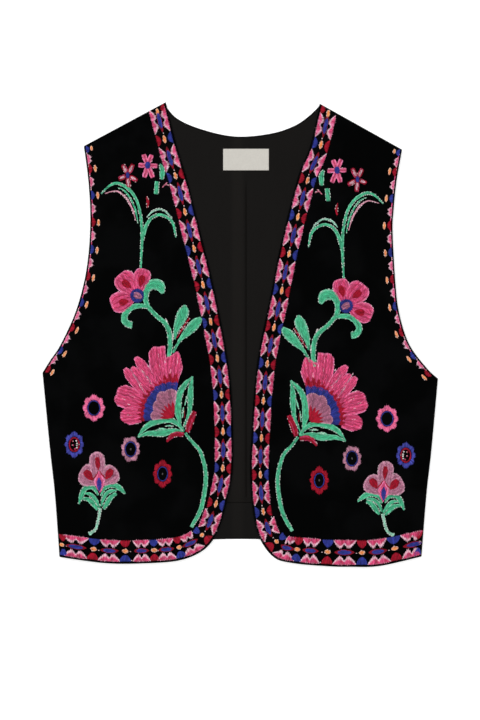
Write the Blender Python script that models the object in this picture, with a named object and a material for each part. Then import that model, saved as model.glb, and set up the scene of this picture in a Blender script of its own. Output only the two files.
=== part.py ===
"""A sleeveless velvet folk vest, laid open-fronted on a flat surface.

The neck points to +Y, left is -X, and the back lies on the surface at z = 0. Every table and
function works in millimetres. Meshes are made in metres.
"""
import math
from collections import namedtuple

import bpy
from mathutils.geometry import delaunay_2d_cdt

MM = 0.001

# Cloth walls and the gaps between them
BACK_WALL = 1.6
LINING_WALL = 0.8
FRONT_WALL = 2.0
LABEL_WALL = 0.6
THREAD_WALL = 1.0
GAP = 0.3

# Soft air under each front, and how far in from its outline it reaches full height
FRONT_CROWN = 1.8
CROWN_REACH = 75.0

# A cut edge turns down over this width by this much
RIM_WIDTH = 1.4
RIM_DROP = 0.7

# How far the hidden edges sit inside the fronts' outline
BACK_INSET = 1.0
LINING_INSET = 4.5

# Spacing of points along an outline and inside a panel
OUTLINE_STEP = 12.0
FRONT_GRID = 23.0
BACK_GRID = 34.0
LINING_GRID = 36.0
MOTIF_GRID = 11.0
HEM_STEPS = 24

# The centre-back pleat of the lining, which fades out under the label and ends above the facing
PLEAT_X = 6.5
PLEAT_HALF_WIDTH = 4.5
PLEAT_RISE = 0.9
PLEAT_TOP = 191.0
PLEAT_FADE = 30.0
PLEAT_FOOT = -201.0
FACING_TOP = -202.2

# The back's hem curves up to this level at its middle
HEM_MIDDLE = -247.2

LABEL_SIZE = (55.0, 26.0)
LABEL_PLACE = (6.9, 210.6)

# The embroidered band: its distance from the cloth's edge, and its reach inwards on the front
# and along the hem.
BAND_EDGE = 2.0
BAND_FRONT_REACH = 22.6
BAND_HEM_REACH = 27.6
BAND_STEP = 10.0

# The shares of the edge's length at which the lower corner starts and ends
CORNER_STARTS = 0.66
CORNER_ENDS = 0.80

# How far a seam's guard strip runs past it, and how far beside a seam the panel is looked for
GUARD_REACH = 40.0
PROBE = 5.0

# The armhole's row of half ovals
ROW_EDGE = 1.2
ROW_REACH = 6.4
ROW_SCALLOP = 1.5
ROW_REPEAT = 16.3
ROW_STEP = 5.4

Spot = namedtuple("Spot", "x y")
Ridge = namedtuple("Ridge", "x0 y0 x1 y1 height reach")

# Each front as it lies, in four seams. The edge runs from the neck point down the opening, round
# the lower corner and along the hem to the side seam.
LEFT_EDGE = (
    Spot(-89.7, 279.6), Spot(-75.9, 226.2), Spot(-62.7, 183.0), Spot(-48.3, 125.4),
    Spot(-33.9, 67.8), Spot(-21.9, 10.2), Spot(-12.3, -47.4), Spot(-8.7, -105.0),
    Spot(-8.7, -162.6), Spot(-14.7, -196.0), Spot(-23.1, -227.4), Spot(-34.5, -249.6),
    Spot(-50.7, -263.4), Spot(-77.1, -272.4), Spot(-120.3, -275.4), Spot(-163.5, -274.9),
    Spot(-217.5, -267.6),
)
LEFT_SIDE = (
    Spot(-217.5, -267.6), Spot(-223.0, -192.6), Spot(-228.9, -138.6), Spot(-237.9, -46.0),
)
LEFT_ARMHOLE = (
    Spot(-237.9, -46.0), Spot(-228.3, -30.6), Spot(-216.3, -12.6), Spot(-199.5, 23.4),
    Spot(-188.7, 59.4), Spot(-182.7, 95.4), Spot(-180.3, 139.8), Spot(-182.7, 185.4),
    Spot(-188.1, 226.8),
)
RIGHT_EDGE = (
    Spot(95.7, 277.8), Spot(83.7, 226.2), Spot(71.7, 197.4), Spot(59.7, 154.2),
    Spot(45.9, 96.6), Spot(34.5, 39.0), Spot(22.5, -18.6), Spot(16.5, -66.6),
    Spot(13.3, -119.4), Spot(11.7, -162.6), Spot(14.1, -205.8), Spot(21.3, -240.6),
    Spot(39.3, -267.0), Spot(62.1, -274.8), Spot(102.9, -278.6), Spot(131.7, -279.4),
    Spot(167.7, -278.4), Spot(218.1, -267.0),
)
RIGHT_SIDE = (
    Spot(218.1, -267.0), Spot(224.1, -192.6), Spot(230.1, -138.6), Spot(237.9, -53.0),
)
RIGHT_ARMHOLE = (
    Spot(237.9, -53.0), Spot(225.3, -41.4), Spot(203.7, -12.6), Spot(191.7, 23.4),
    Spot(186.9, 59.4), Spot(183.3, 123.0), Spot(184.5, 149.4), Spot(188.1, 185.4),
    Spot(194.7, 222.6),
)
NECK = (
    Spot(-91.0, 278.6), Spot(-75.3, 261.0), Spot(-44.7, 247.8), Spot(-5.1, 239.6),
    Spot(35.7, 243.0), Spot(64.0, 252.0), Spot(82.0, 264.0), Spot(95.7, 277.4),
)

# Long, low ridges where the velvet doesn't lie quite flat
LEFT_RIDGES = (
    Ridge(-200.0, 0.0, -120.0, -60.0, 0.9, 40.0),
    Ridge(-80.0, 110.0, -100.0, -20.0, 0.6, 36.0),
    Ridge(-190.0, -185.0, -90.0, -210.0, 0.6, 36.0),
)
RIGHT_RIDGES = (
    Ridge(200.0, -6.0, 115.0, -75.0, 0.9, 40.0),
    Ridge(86.0, 100.0, 104.0, -15.0, 0.6, 36.0),
    Ridge(190.0, -195.0, 85.0, -215.0, 0.6, 36.0),
)

# Where each motif is placed on the two fronts
Place = namedtuple("Place", "motif left_x left_y right_x right_y")
PLACES = (
    Place("bloom", -80.0, -100.2, 83.6, -105.0),
    Place("calyx", -68.1, -114.6, 71.7, -119.4),
    Place("rosette", -123.9, 46.8, 127.4, 34.4),
    Place("grass", -119.6, 81.6, 124.3, 69.8),
    Place("star_a", -111.2, 203.4, 116.3, 197.4),
    Place("star_b", -135.1, 191.4, 140.8, 186.4),
    Place("small_leaf_a", -95.6, 196.0, 99.4, 188.8),
    Place("small_leaf_b", -101.1, 176.4, 105.7, 168.0),
    Place("ring_pink", -175.9, -88.2, 176.5, -101.2),
    Place("ring_blue", -199.5, -132.2, 198.9, -145.2),
    Place("ring_mauve", -131.7, -137.8, 134.3, -148.9),
    Place("ring_red", -93.3, -167.4, 94.9, -175.2),
    Place("tulip", -169.1, -179.4, 172.0, -190.6),
)

# Petals by the way they point, in degrees from +X, their length and their width
Petal = namedtuple("Petal", "turn length width")
BLOOM_PETALS = (
    Petal(89, 74, 29), Petal(103, 89, 31), Petal(119, 86, 17), Petal(128, 82, 14),
    Petal(137, 83, 15), Petal(157, 76, 34), Petal(179, 58, 27),
)
ROSETTE_PETALS = (Petal(74, 31, 21), Petal(132, 34, 23), Petal(200, 34, 23))
TULIP_PETALS = (Petal(140, 30, 20), Petal(94, 41, 19), Petal(46, 29, 20))
STAR_A_PETALS = (
    Petal(-4, 12.4, 6.6), Petal(69, 14.2, 6.6), Petal(111, 14.8, 6.6), Petal(180, 12.2, 6.6),
    Petal(254, 15.8, 6.6), Petal(293, 16.6, 6.6),
)
STAR_B_PETALS = (
    Petal(64, 15.6, 7.2), Petal(115, 15.0, 7.2), Petal(203, 12.8, 7.2), Petal(274, 15.6, 7.2),
    Petal(330, 14.2, 7.2),
)

# The layered heart of the bloom: a fan of short flames
HEART_SPAN = (84, 184)
HEART_RADIUS = 48.0
HEART_FLAME = 5.0
HEART_FLAMES = 8
FAN_RADIUS = 57.0

# Ring flowers by their half sizes and the half sizes of their hole
Ring = namedtuple("Ring", "motif half_x half_y hole_x hole_y")
RINGS = (
    Ring("ring_pink", 12.6, 15.6, 6.4, 8.0),
    Ring("ring_blue", 11.6, 15.4, 5.0, 7.0),
    Ring("ring_mauve", 11.0, 14.6, 6.0, 8.4),
    Ring("ring_red", 10.6, 15.6, 6.0, 8.6),
)

BLACK_VELVET = (0.006, 0.006, 0.007, 1.0)
CHARCOAL = (0.012, 0.011, 0.010, 1.0)
CREAM = (0.62, 0.60, 0.55, 1.0)
PINK = (0.72, 0.10, 0.26, 1.0)
CRIMSON = (0.36, 0.012, 0.035, 1.0)
MINT = (0.09, 0.56, 0.33, 1.0)
MAUVE = (0.46, 0.17, 0.29, 1.0)
BLUE = (0.03, 0.04, 0.26, 1.0)


def clear_scene():
    for thing in list(bpy.data.objects):
        bpy.data.objects.remove(thing, do_unlink=True)


def thread_or_cloth(name, colour, roughness):
    """A plain Principled material."""
    material = bpy.data.materials.new(name)
    material.use_nodes = True
    shader = material.node_tree.nodes["Principled BSDF"]
    shader.inputs["Base Color"].default_value = colour
    shader.inputs["Roughness"].default_value = roughness
    shader.inputs["Metallic"].default_value = 0.0
    return material


def smooth_run(spots, step):
    """Evenly spaced points, about `step` apart, on a smooth curve through the spots."""
    padded = [spots[0], *spots, spots[-1]]
    dense = []
    fine = 12
    for a, b, c, d in zip(padded, padded[1:], padded[2:], padded[3:]):
        for i in range(fine):
            t = i / fine
            dense.append(tuple(
                0.5 * (2 * q + (r - p) * t + (2 * p - 5 * q + 4 * r - s) * t * t
                       + (3 * q - p - 3 * r + s) * t ** 3)
                for p, q, r, s in zip(a, b, c, d)))
    dense.append(tuple(spots[-1]))
    lengths = [0.0]
    for a, b in zip(dense, dense[1:]):
        lengths.append(lengths[-1] + math.dist(a, b))
    count = max(2, round(lengths[-1] / step))
    points = []
    at = 0
    for i in range(count + 1):
        want = lengths[-1] * i / count
        while at < len(dense) - 2 and lengths[at + 1] < want:
            at += 1
        share = (want - lengths[at]) / max(lengths[at + 1] - lengths[at], 1e-9)
        (x0, y0), (x1, y1) = dense[at], dense[at + 1]
        points.append((x0 + (x1 - x0) * share, y0 + (y1 - y0) * share))
    return points


def normals(points, closed):
    """The unit left-hand normal at each point of a run or loop."""
    count = len(points)
    result = []
    for i in range(count):
        before = points[i - 1] if closed or i else points[0]
        after = points[(i + 1) % count] if closed or i < count - 1 else points[-1]
        dx, dy = after[0] - before[0], after[1] - before[1]
        size = math.hypot(dx, dy)
        result.append((-dy / size, dx / size))
    return result


def area(loop):
    """Signed area, positive where the loop runs anticlockwise."""
    return 0.5 * sum(a[0] * b[1] - b[0] * a[1] for a, b in zip(loop, loop[1:] + loop[:1]))


def offset(loop, distance):
    """The closed loop moved outwards by `distance`, or inwards where it is negative."""
    sign = -1 if area(loop) > 0 else 1
    return [(x + sign * distance * nx, y + sign * distance * ny)
            for (x, y), (nx, ny) in zip(loop, normals(loop, True))]


def inside(loop, x, y):
    """Whether a point is inside a closed loop."""
    odd = False
    for (x0, y0), (x1, y1) in zip(loop, loop[1:] + loop[:1]):
        if (y0 > y) != (y1 > y) and x < x0 + (y - y0) * (x1 - x0) / (y1 - y0):
            odd = not odd
    return odd


def segment_distance(x, y, a, b):
    dx, dy = b[0] - a[0], b[1] - a[1]
    length = dx * dx + dy * dy
    share = max(0.0, min(1.0, ((x - a[0]) * dx + (y - a[1]) * dy) / max(length, 1e-12)))
    return math.hypot(x - a[0] - share * dx, y - a[1] - share * dy)


def edge_distance(loops, x, y):
    """How far a point is from the nearest of the loops."""
    return min(segment_distance(x, y, a, b)
               for loop in loops for a, b in zip(loop, loop[1:] + loop[:1]))


def ease(t):
    """A smooth step from 0 to 1."""
    t = max(0.0, min(1.0, t))
    return t * t * (3 - 2 * t)


def largest_patch(faces):
    """The faces of the largest region joined along edges."""
    by_edge = {}
    for index, face in enumerate(faces):
        for a, b in zip(face, face[1:] + face[:1]):
            by_edge.setdefault((min(a, b), max(a, b)), []).append(index)
    neighbours = {index: set() for index in range(len(faces))}
    for sharers in by_edge.values():
        for index in sharers:
            neighbours[index].update(sharers)
    unseen = set(neighbours)
    best = []
    while unseen:
        patch = []
        todo = [min(unseen)]
        unseen.discard(todo[0])
        while todo:
            index = todo.pop()
            patch.append(index)
            fresh = neighbours[index] & unseen
            unseen -= fresh
            todo.extend(fresh)
        if len(patch) > len(best):
            best = patch
    return [faces[index] for index in sorted(best)]


def flat_pattern(shapes, cuts=(), grid=MOTIF_GRID, rows=()):
    """Triangles that fill the union of the shapes without the cuts.

    rows are open runs of points that the triangles must keep, such as a pleat's fold.
    """
    points = []
    edges = []
    for loop in [*shapes, *cuts]:
        first = len(points)
        points.extend(loop)
        edges.extend((first + i, first + (i + 1) % len(loop)) for i in range(len(loop)))
    for row in rows:
        first = len(points)
        points.extend(row)
        edges.extend((first + i, first + i + 1) for i in range(len(row) - 1))
    loops = [*shapes, *cuts, *rows]
    left = min(x for loop in shapes for x, y in loop)
    right = max(x for loop in shapes for x, y in loop)
    low = min(y for loop in shapes for x, y in loop)
    high = max(y for loop in shapes for x, y in loop)
    row_height = grid * math.sqrt(3) / 2
    for j in range(1, int((high - low) / row_height) + 1):
        for i in range(int((right - left) / grid) + 2):
            x = left + (i + 0.5 * (j % 2)) * grid
            y = low + j * row_height
            kept = any(inside(loop, x, y) for loop in shapes)
            if kept and not any(inside(loop, x, y) for loop in cuts):
                if edge_distance(loops, x, y) > 0.45 * grid:
                    points.append((x, y))
    corners, _, faces, *_ = delaunay_2d_cdt(points, edges, [], 0, 1e-3)
    kept = []
    for face in faces:
        x = sum(corners[i][0] for i in face) / 3
        y = sum(corners[i][1] for i in face) / 3
        if any(inside(loop, x, y) for loop in shapes):
            if not any(inside(loop, x, y) for loop in cuts):
                kept.append(list(face))
    kept = largest_patch(kept)
    used = sorted({index for face in kept for index in face})
    renumber = {index: i for i, index in enumerate(used)}
    places = [(corners[i][0], corners[i][1]) for i in used]
    triangles = []
    for face in kept:
        a, b, c = (renumber[i] for i in face)
        turn = area([places[a], places[b], places[c]])
        triangles.append((a, b, c) if turn > 0 else (a, c, b))
    return places, triangles


def cloth_solid(name, pattern, lower, upper, material):
    """One closed body between two surfaces over a flat pattern."""
    places, triangles = pattern
    count = len(places)
    verts = [(x * MM, y * MM, upper(x, y) * MM) for x, y in places]
    verts += [(x * MM, y * MM, lower(x, y) * MM) for x, y in places]
    faces = list(triangles)
    faces += [(c + count, b + count, a + count) for a, b, c in triangles]
    sides = {(a, b) for face in triangles for a, b in zip(face, face[1:] + face[:1])}
    for a, b in sorted(sides):
        if (b, a) not in sides:
            faces.append((b, a, a + count))
            faces.append((b, a + count, b + count))
    mesh = bpy.data.meshes.new(name)
    mesh.from_pydata(verts, [], faces)
    mesh.shade_smooth()
    mesh.set_sharp_from_angle(angle=math.radians(40))
    mesh.materials.append(material)
    thing = bpy.data.objects.new(name, mesh)
    bpy.context.collection.objects.link(thing)
    return thing


def panel_loop(edge, side, armhole, step):
    """A front's closed outline from its seams, the last one being the shoulder."""
    loop = []
    shoulder = (armhole[-1], edge[0])
    for seam in (edge, side, armhole, shoulder):
        loop += smooth_run(seam, step)[:-1]
    return loop


def back_loop(step):
    """The back's outline: the fronts' sides, armholes and shoulders, its own neck and hem."""
    left = smooth_run(LEFT_SIDE, step)[:-1] + smooth_run(LEFT_ARMHOLE, step)[:-1]
    right = smooth_run(RIGHT_SIDE, step)[:-1] + smooth_run(RIGHT_ARMHOLE, step)
    corner_left, corner_right = LEFT_SIDE[0], RIGHT_SIDE[0]
    hem = []
    for i in range(1, HEM_STEPS):
        share = i / HEM_STEPS
        level = corner_right.y + (corner_left.y - corner_right.y) * share
        rise = (HEM_MIDDLE - level) * math.sin(math.pi * share)
        hem.append((corner_right.x + (corner_left.x - corner_right.x) * share, level + rise))
    left_shoulder = smooth_run((LEFT_ARMHOLE[-1], NECK[0]), step)[:-1]
    right_shoulder = smooth_run((NECK[-1], RIGHT_ARMHOLE[-1]), step)[1:-1]
    neck = smooth_run(NECK, step)
    return left + left_shoulder + neck + right_shoulder + right[::-1] + hem


def rim(distance):
    """How far an edge has turned down, at a distance inside a panel's outline."""
    return RIM_DROP * max(0.0, 1.0 - distance / RIM_WIDTH) ** 2


def ridge_rise(ridges, x, y):
    total = 0.0
    for ridge in ridges:
        away = segment_distance(x, y, (ridge.x0, ridge.y0), (ridge.x1, ridge.y1)) / ridge.reach
        total += ridge.height * max(0.0, 1.0 - away * away) ** 2
    return total


class Front:
    """One front: its outline, its two surfaces and the motifs on it."""

    def __init__(self, name, seams, ridges, mirror):
        self.name = name
        self.edge, self.side, self.armhole = seams
        self.ridges = ridges
        self.mirror = mirror
        self.loop = panel_loop(*seams, OUTLINE_STEP)

    def floor(self, x, y):
        lift = FRONT_CROWN * ease(edge_distance([self.loop], x, y) / CROWN_REACH)
        lining_top = BACK_WALL + GAP + LINING_WALL
        return lining_top + GAP + lift + ridge_rise(self.ridges, x, y) * ease(lift)

    def top(self, x, y):
        return self.floor(x, y) + FRONT_WALL - rim(edge_distance([self.loop], x, y))

    def lay(self, loop, place):
        """A motif's loop, drawn for the left front, in its place on this one."""
        if self.mirror:
            return [(place.right_x - x, place.right_y + y) for x, y in loop]
        return [(place.left_x + x, place.left_y + y) for x, y in loop]

    def band(self):
        """The embroidered band down the opening and along the hem."""
        return band_loop(self, self.edge, BAND_EDGE, (BAND_FRONT_REACH, BAND_HEM_REACH),
                         BAND_STEP)

    def inward(self, start, end):
        """The unit normal of a short stretch of seam, pointing into the panel."""
        size = math.dist(start, end)
        nx, ny = (start[1] - end[1]) / size, (end[0] - start[0]) / size
        middle = ((start[0] + end[0]) / 2, (start[1] + end[1]) / 2)
        if inside(self.loop, middle[0] + PROBE * nx, middle[1] + PROBE * ny):
            return nx, ny
        return -nx, -ny

    def seam_guard(self, start, end):
        """A strip over a straight seam, which keeps embroidery clear of it."""
        size = math.dist(start, end)
        ux, uy = (end[0] - start[0]) / size, (end[1] - start[1]) / size
        nx, ny = self.inward(start, end)
        corners = ((-GUARD_REACH, BAND_EDGE), (size + GUARD_REACH, BAND_EDGE),
                   (size + GUARD_REACH, -GUARD_REACH), (-GUARD_REACH, -GUARD_REACH))
        return [(start[0] + ux * along + nx * deep, start[1] + uy * along + ny * deep)
                for along, deep in corners]


def petal(base, shape, bluntness=0.75, steps=7):
    """A rounded petal that widens towards its tip."""
    turn = math.radians(shape.turn)
    ux, uy = math.cos(turn), math.sin(turn)
    left, right = [], []
    for i in range(steps + 1):
        t = (1 - math.cos(math.pi * i / steps)) / 2
        half = shape.width / 2 * abs(math.sin(math.pi * t ** 1.5)) ** bluntness
        x, y = base[0] + ux * shape.length * t, base[1] + uy * shape.length * t
        left.append((x - uy * half, y + ux * half))
        right.append((x + uy * half, y - ux * half))
    return left + right[-2:0:-1]


def ribbon(spots, start_width, end_width, step=8.0):
    """A stem along a smooth curve, with its width changing evenly."""
    run = smooth_run(spots, step)
    left, right = [], []
    for i, ((x, y), (nx, ny)) in enumerate(zip(run, normals(run, False))):
        half = (start_width + (end_width - start_width) * i / (len(run) - 1)) / 2
        left.append((x + nx * half, y + ny * half))
        right.append((x - nx * half, y - ny * half))
    return left + right[::-1]


def blade(spots, widths, step=5.0):
    """A curl along a smooth curve, as wide at even steps as the list says."""
    run = smooth_run(spots, step)
    left, right = [], []
    for i, ((x, y), (nx, ny)) in enumerate(zip(run, normals(run, False))):
        at = (len(widths) - 1) * i / (len(run) - 1)
        first = min(int(at), len(widths) - 2)
        half = (widths[first] + (widths[first + 1] - widths[first]) * (at - first)) / 2
        left.append((x + nx * half, y + ny * half))
        right.append((x - nx * half, y - ny * half))
    return left + right[::-1]


def leaf(spots, width, step=8.0, fullness=0.8):
    """A leaf along a smooth curve, pointed at both ends."""
    run = smooth_run(spots, step)
    left, right = [], []
    for i, ((x, y), (nx, ny)) in enumerate(zip(run, normals(run, False))):
        half = width / 2 * abs(math.sin(math.pi * i / (len(run) - 1))) ** fullness
        left.append((x + nx * half, y + ny * half))
        right.append((x - nx * half, y - ny * half))
    return left + right[-2:0:-1]


def oval(half_x, half_y, lobes=0, depth=0.0, steps=12):
    """An oval, scalloped where it has lobes."""
    points = []
    for i in range(steps):
        angle = 2 * math.pi * i / steps
        swell = 1 + depth * math.cos(lobes * angle)
        points.append((half_x * swell * math.cos(angle), half_y * swell * math.sin(angle)))
    return points


def heart_fan():
    """The bloom's heart: a fan whose outer edge is a row of flames."""
    start, end = (math.radians(angle) for angle in HEART_SPAN)
    points = [(0.0, 0.0)]
    steps = 2 * HEART_FLAMES
    for i in range(steps + 1):
        angle = start + (end - start) * i / steps
        radius = HEART_RADIUS + HEART_FLAME * (i % 2) - HEART_FLAME / 2
        points.append((radius * math.cos(angle), radius * math.sin(angle)))
    return points


def bloom_petal_loops():
    """The petals and the plain fan that joins them behind the heart."""
    fan = [(0.0, 0.0)]
    start, end = (math.radians(angle) for angle in HEART_SPAN)
    steps = 12
    for i in range(steps + 1):
        angle = start + (end - start) * i / steps
        fan.append((FAN_RADIUS * math.cos(angle), FAN_RADIUS * math.sin(angle)))
    return [petal((0, 0), shape) for shape in BLOOM_PETALS] + [fan]


def bloom_stem_loops():
    """Two broad leaves, two sepals and the curved stem, from the calyx."""
    return [
        leaf(((-2, -2), (0, 30), (11, 64)), 21),
        leaf(((3, -1), (-28, 4), (-55, -9)), 22),
        leaf(((2, -6), (10, 8), (14, 25)), 8),
        leaf(((5, -5), (-8, -12), (-21, -12)), 8),
        ribbon(((-1, 0), (4, -5), (20, -26), (26.4, -50), (25.4, -73), (20, -97), (9, -117)),
               5.0, 5.4),
    ]


def rosette_loops():
    return [petal((0, 0), shape, 0.65) for shape in ROSETTE_PETALS] + [oval(8.0, 8.6)]


def rosette_stem_loops():
    """The curl over the rosette, the curl below it, the stem and its two leaves."""
    return [
        blade(((13, -13.6), (9.6, -6), (9.8, 3.2), (13.6, 11), (21, 13.4), (28, 11), (31.2, 2.4)),
              (5, 6.4, 7.6, 10, 12.4, 11, 4)),
        blade(((13, -12.8), (4, -12), (-5.6, -14.4), (-13, -21), (-15.2, -28.6), (-11.8, -34),
               (-6, -35.6)), (4.6, 6, 6.8, 7.4, 7.6, 7.4, 6)),
        ribbon(((13, -12.6), (22.4, -23.4), (33, -32.4), (38.4, -43), (39.6, -64), (38, -73)),
               5.4, 5.0),
        leaf(((39, -66), (46, -44), (57, -11)), 17),
        leaf(((38.5, -68), (56, -54), (76, -28)), 13.4),
    ]


def grass_loops():
    return [
        ribbon(((0, 0), (1.7, 36), (1, 65), (-4.8, 81), (-14.4, 93), (-28, 100), (-46, 91)),
               4.2, 4.4),
        ribbon(((1.5, 30), (8, 53), (14.5, 61), (23, 65), (33, 60), (39, 51), (42, 37)), 5.0, 3.0),
    ]


def star_loops(petals):
    return [oval(3.6, 4.4, steps=8)] + [petal((0, 0), shape, 0.7, 5) for shape in petals]


def tulip_stem_loops():
    return [
        leaf(((0.5, -30), (-17, -7), (-25, -25)), 9.5),
        leaf(((0.5, -30), (15, -4), (31, -13)), 9.5),
        ribbon(((0.5, -8), (0.5, -30), (-2.3, -42), (-4, -50), (-12.4, -58)), 3.6, 3.6),
    ]


def motif_table():
    """Each motif node: its place, its loops, the nodes that it is cut round, its colour."""
    return {
        "rosette_stem": ("rosette", rosette_stem_loops(), ("border",), MINT),
        "bloom_stem": ("calyx", bloom_stem_loops(), (), MINT),
        "bloom_heart": ("bloom", [heart_fan()], ("bloom_stem",), CRIMSON),
        "bloom_petals": ("bloom", bloom_petal_loops(),
                         ("bloom_stem", "bloom_heart", "rosette_stem"), PINK),

        "rosette": ("rosette", rosette_loops(), ("rosette_stem",), PINK),
        "grass": ("grass", grass_loops(), (), MINT),
        "star_a": ("star_a", star_loops(STAR_A_PETALS), (), PINK),
        "star_b": ("star_b", star_loops(STAR_B_PETALS), ("grass",), PINK),
        "small_leaf_a": ("small_leaf_a", [leaf(((-1, 10), (-1.4, 0), (1.5, -10)), 5.2, 4)],
                         (), MINT),
        "small_leaf_b": ("small_leaf_b", [leaf(((1, 8.6), (1, 0), (-1.4, -8.6)), 5.6, 4)],
                         (), MINT),
        "tulip_stem": ("tulip", tulip_stem_loops(), ("border",), MINT),
        "tulip": ("tulip", [petal((0, -3), shape, 0.7) for shape in TULIP_PETALS],
                  ("tulip_stem",), MAUVE),
    }


RING_COLOURS = {"ring_pink": PINK, "ring_blue": BLUE, "ring_mauve": MAUVE, "ring_red": CRIMSON}


def add_motif(front, name, shapes, cuts, colour):
    """A patch of raised thread that follows the panel under it."""
    pattern = flat_pattern(shapes, cuts)

    def lower(x, y):
        return front.top(x, y) + GAP

    def upper(x, y):
        return lower(x, y) + THREAD_WALL

    node = f"{name}_{front.name}"
    cloth_solid(node, pattern, lower, upper, thread_or_cloth(node, colour, 0.55))


def add_motifs(front):
    places = {place.motif: place for place in PLACES}
    laid = {"border": [front.band()]}
    for name, (spot, loops, over, colour) in motif_table().items():
        laid[name] = [front.lay(loop, places[spot]) for loop in loops]
        cuts = [offset(loop, 0.6) for other in over for loop in laid[other]]
        add_motif(front, name, laid[name], cuts, colour)
    for ring in RINGS:
        outer = oval(ring.half_x, ring.half_y, lobes=8, depth=0.07, steps=24)
        hole = oval(ring.hole_x, ring.hole_y, steps=10)
        place = places[ring.motif]
        add_motif(front, ring.motif, [front.lay(outer, place)], [front.lay(hole, place)],
                  RING_COLOURS[ring.motif])


def band_loop(front, spots, edge, reaches, step, scallop=0.0):
    """A band beside a seam, whose reach changes round the lower corner."""
    run = smooth_run(spots, step)
    sides = normals(run, False)
    middle = len(run) // 2
    into = front.inward(run[middle], run[middle + 1])
    sign = 1 if into[0] * sides[middle][0] + into[1] * sides[middle][1] > 0 else -1
    outer, inner = [], []
    pace = math.dist(run[0], run[1])
    for i, ((x, y), (nx, ny)) in enumerate(zip(run, sides)):
        along = i / (len(run) - 1)
        share = ease((along - CORNER_STARTS) / (CORNER_ENDS - CORNER_STARTS))
        reach = reaches[0] + (reaches[1] - reaches[0]) * share
        reach += scallop * math.cos(2 * math.pi * i * pace / ROW_REPEAT)
        outer.append((x + sign * edge * nx, y + sign * edge * ny))
        inner.append((x + sign * reach * nx, y + sign * reach * ny))
    return outer + inner[::-1]


def add_borders(front):
    """The front and hem border as one band, and the armhole's row of half ovals."""
    shoulder = front.seam_guard(front.armhole[-1], front.edge[0])
    side = front.seam_guard(front.side[0], front.side[-1])
    row = band_loop(front, front.armhole, ROW_EDGE, (ROW_REACH, ROW_REACH), ROW_STEP,
                    ROW_SCALLOP)
    add_motif(front, "border", [front.band()], [shoulder, side], PINK)
    add_motif(front, "armhole_border", [row], [shoulder, side], PINK)


def add_front(front):
    inner = offset(front.loop, -RIM_WIDTH)
    pattern = flat_pattern([front.loop], grid=FRONT_GRID, rows=[inner + inner[:1]])
    node = f"front_{front.name}"
    cloth_solid(node, pattern, front.floor, front.top, thread_or_cloth(node, BLACK_VELVET, 0.9))


def add_back():
    loop = offset(back_loop(OUTLINE_STEP), -BACK_INSET)
    inner = offset(loop, -RIM_WIDTH)
    pattern = flat_pattern([loop], grid=BACK_GRID, rows=[inner + inner[:1]])

    def upper(x, y):
        return BACK_WALL - rim(edge_distance([loop], x, y))

    cloth_solid("back", pattern, lambda x, y: 0.0, upper,
                thread_or_cloth("back", BLACK_VELVET, 0.9))


def pleat_rise(x, y):
    """The lining's ease pleat: a low fold that dies away under the label."""
    across = abs(x - PLEAT_X) / PLEAT_HALF_WIDTH
    along = ease((PLEAT_TOP - y) / PLEAT_FADE) * ease((y - PLEAT_FOOT) / PLEAT_HALF_WIDTH)
    return PLEAT_RISE * max(0.0, 1 - across * across) * along


def add_linings():
    """The back lining down to its facing seam, and the plain facing below it."""
    whole = offset(back_loop(OUTLINE_STEP), -LINING_INSET)
    reach = 260.0
    across = [reach - LINING_GRID * i for i in range(21)]
    below = [(-reach, -reach - 60), (reach, -reach - 60)] + [(x, FACING_TOP) for x in across]
    above = [(-reach, reach + 60), (reach, reach + 60)] + [(x, FACING_TOP - GAP) for x in across]
    floor = BACK_WALL + GAP
    folds = []
    for side in (-1, 0, 1):
        x = PLEAT_X + side * PLEAT_HALF_WIDTH
        folds.append(smooth_run(((x, PLEAT_FOOT + PLEAT_HALF_WIDTH), (x, PLEAT_TOP)), OUTLINE_STEP))
    lining = flat_pattern([whole], [below], LINING_GRID, folds)
    facing = flat_pattern([whole], [above], LINING_GRID)
    cloth_solid("back_lining", lining, lambda x, y: floor,
                lambda x, y: floor + LINING_WALL + pleat_rise(x, y),
                thread_or_cloth("back_lining", CHARCOAL, 0.7))
    cloth_solid("back_hem_facing", facing, lambda x, y: floor, lambda x, y: floor + LINING_WALL,
                thread_or_cloth("back_hem_facing", CHARCOAL, 0.7))


def add_label():
    """A bare woven label, sewn flat on the lining."""
    half_x, half_y = LABEL_SIZE[0] / 2, LABEL_SIZE[1] / 2
    x, y = LABEL_PLACE
    loop = [(x - half_x, y - half_y), (x + half_x, y - half_y), (x + half_x, y + half_y),
            (x - half_x, y + half_y)]
    floor = BACK_WALL + GAP + LINING_WALL + GAP
    cloth_solid("label", flat_pattern([loop]), lambda x, y: floor,
                lambda x, y: floor + LABEL_WALL, thread_or_cloth("label", CREAM, 0.8))


def build_vest():
    clear_scene()
    add_back()
    add_linings()
    add_label()
    left = Front("left", (LEFT_EDGE, LEFT_SIDE, LEFT_ARMHOLE), LEFT_RIDGES, False)
    right = Front("right", (RIGHT_EDGE, RIGHT_SIDE, RIGHT_ARMHOLE), RIGHT_RIDGES, True)
    for front in (left, right):
        add_front(front)
        add_borders(front)
        add_motifs(front)


build_vest()
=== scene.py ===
# %% [markdown]
# A sleeveless velvet vest lies on its back on a pale table, with its fronts open. It is black
# velvet, lined in charcoal satin and worked with thick, bright embroidery. This lesson dresses
# the plain solids of its construction model: they say where each piece is and how big it is,
# and the cells below give each one its real surface. Sizes are in millimetres, as a pattern
# cutter writes them, and a mesh turns them into metres at the last moment.

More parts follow.
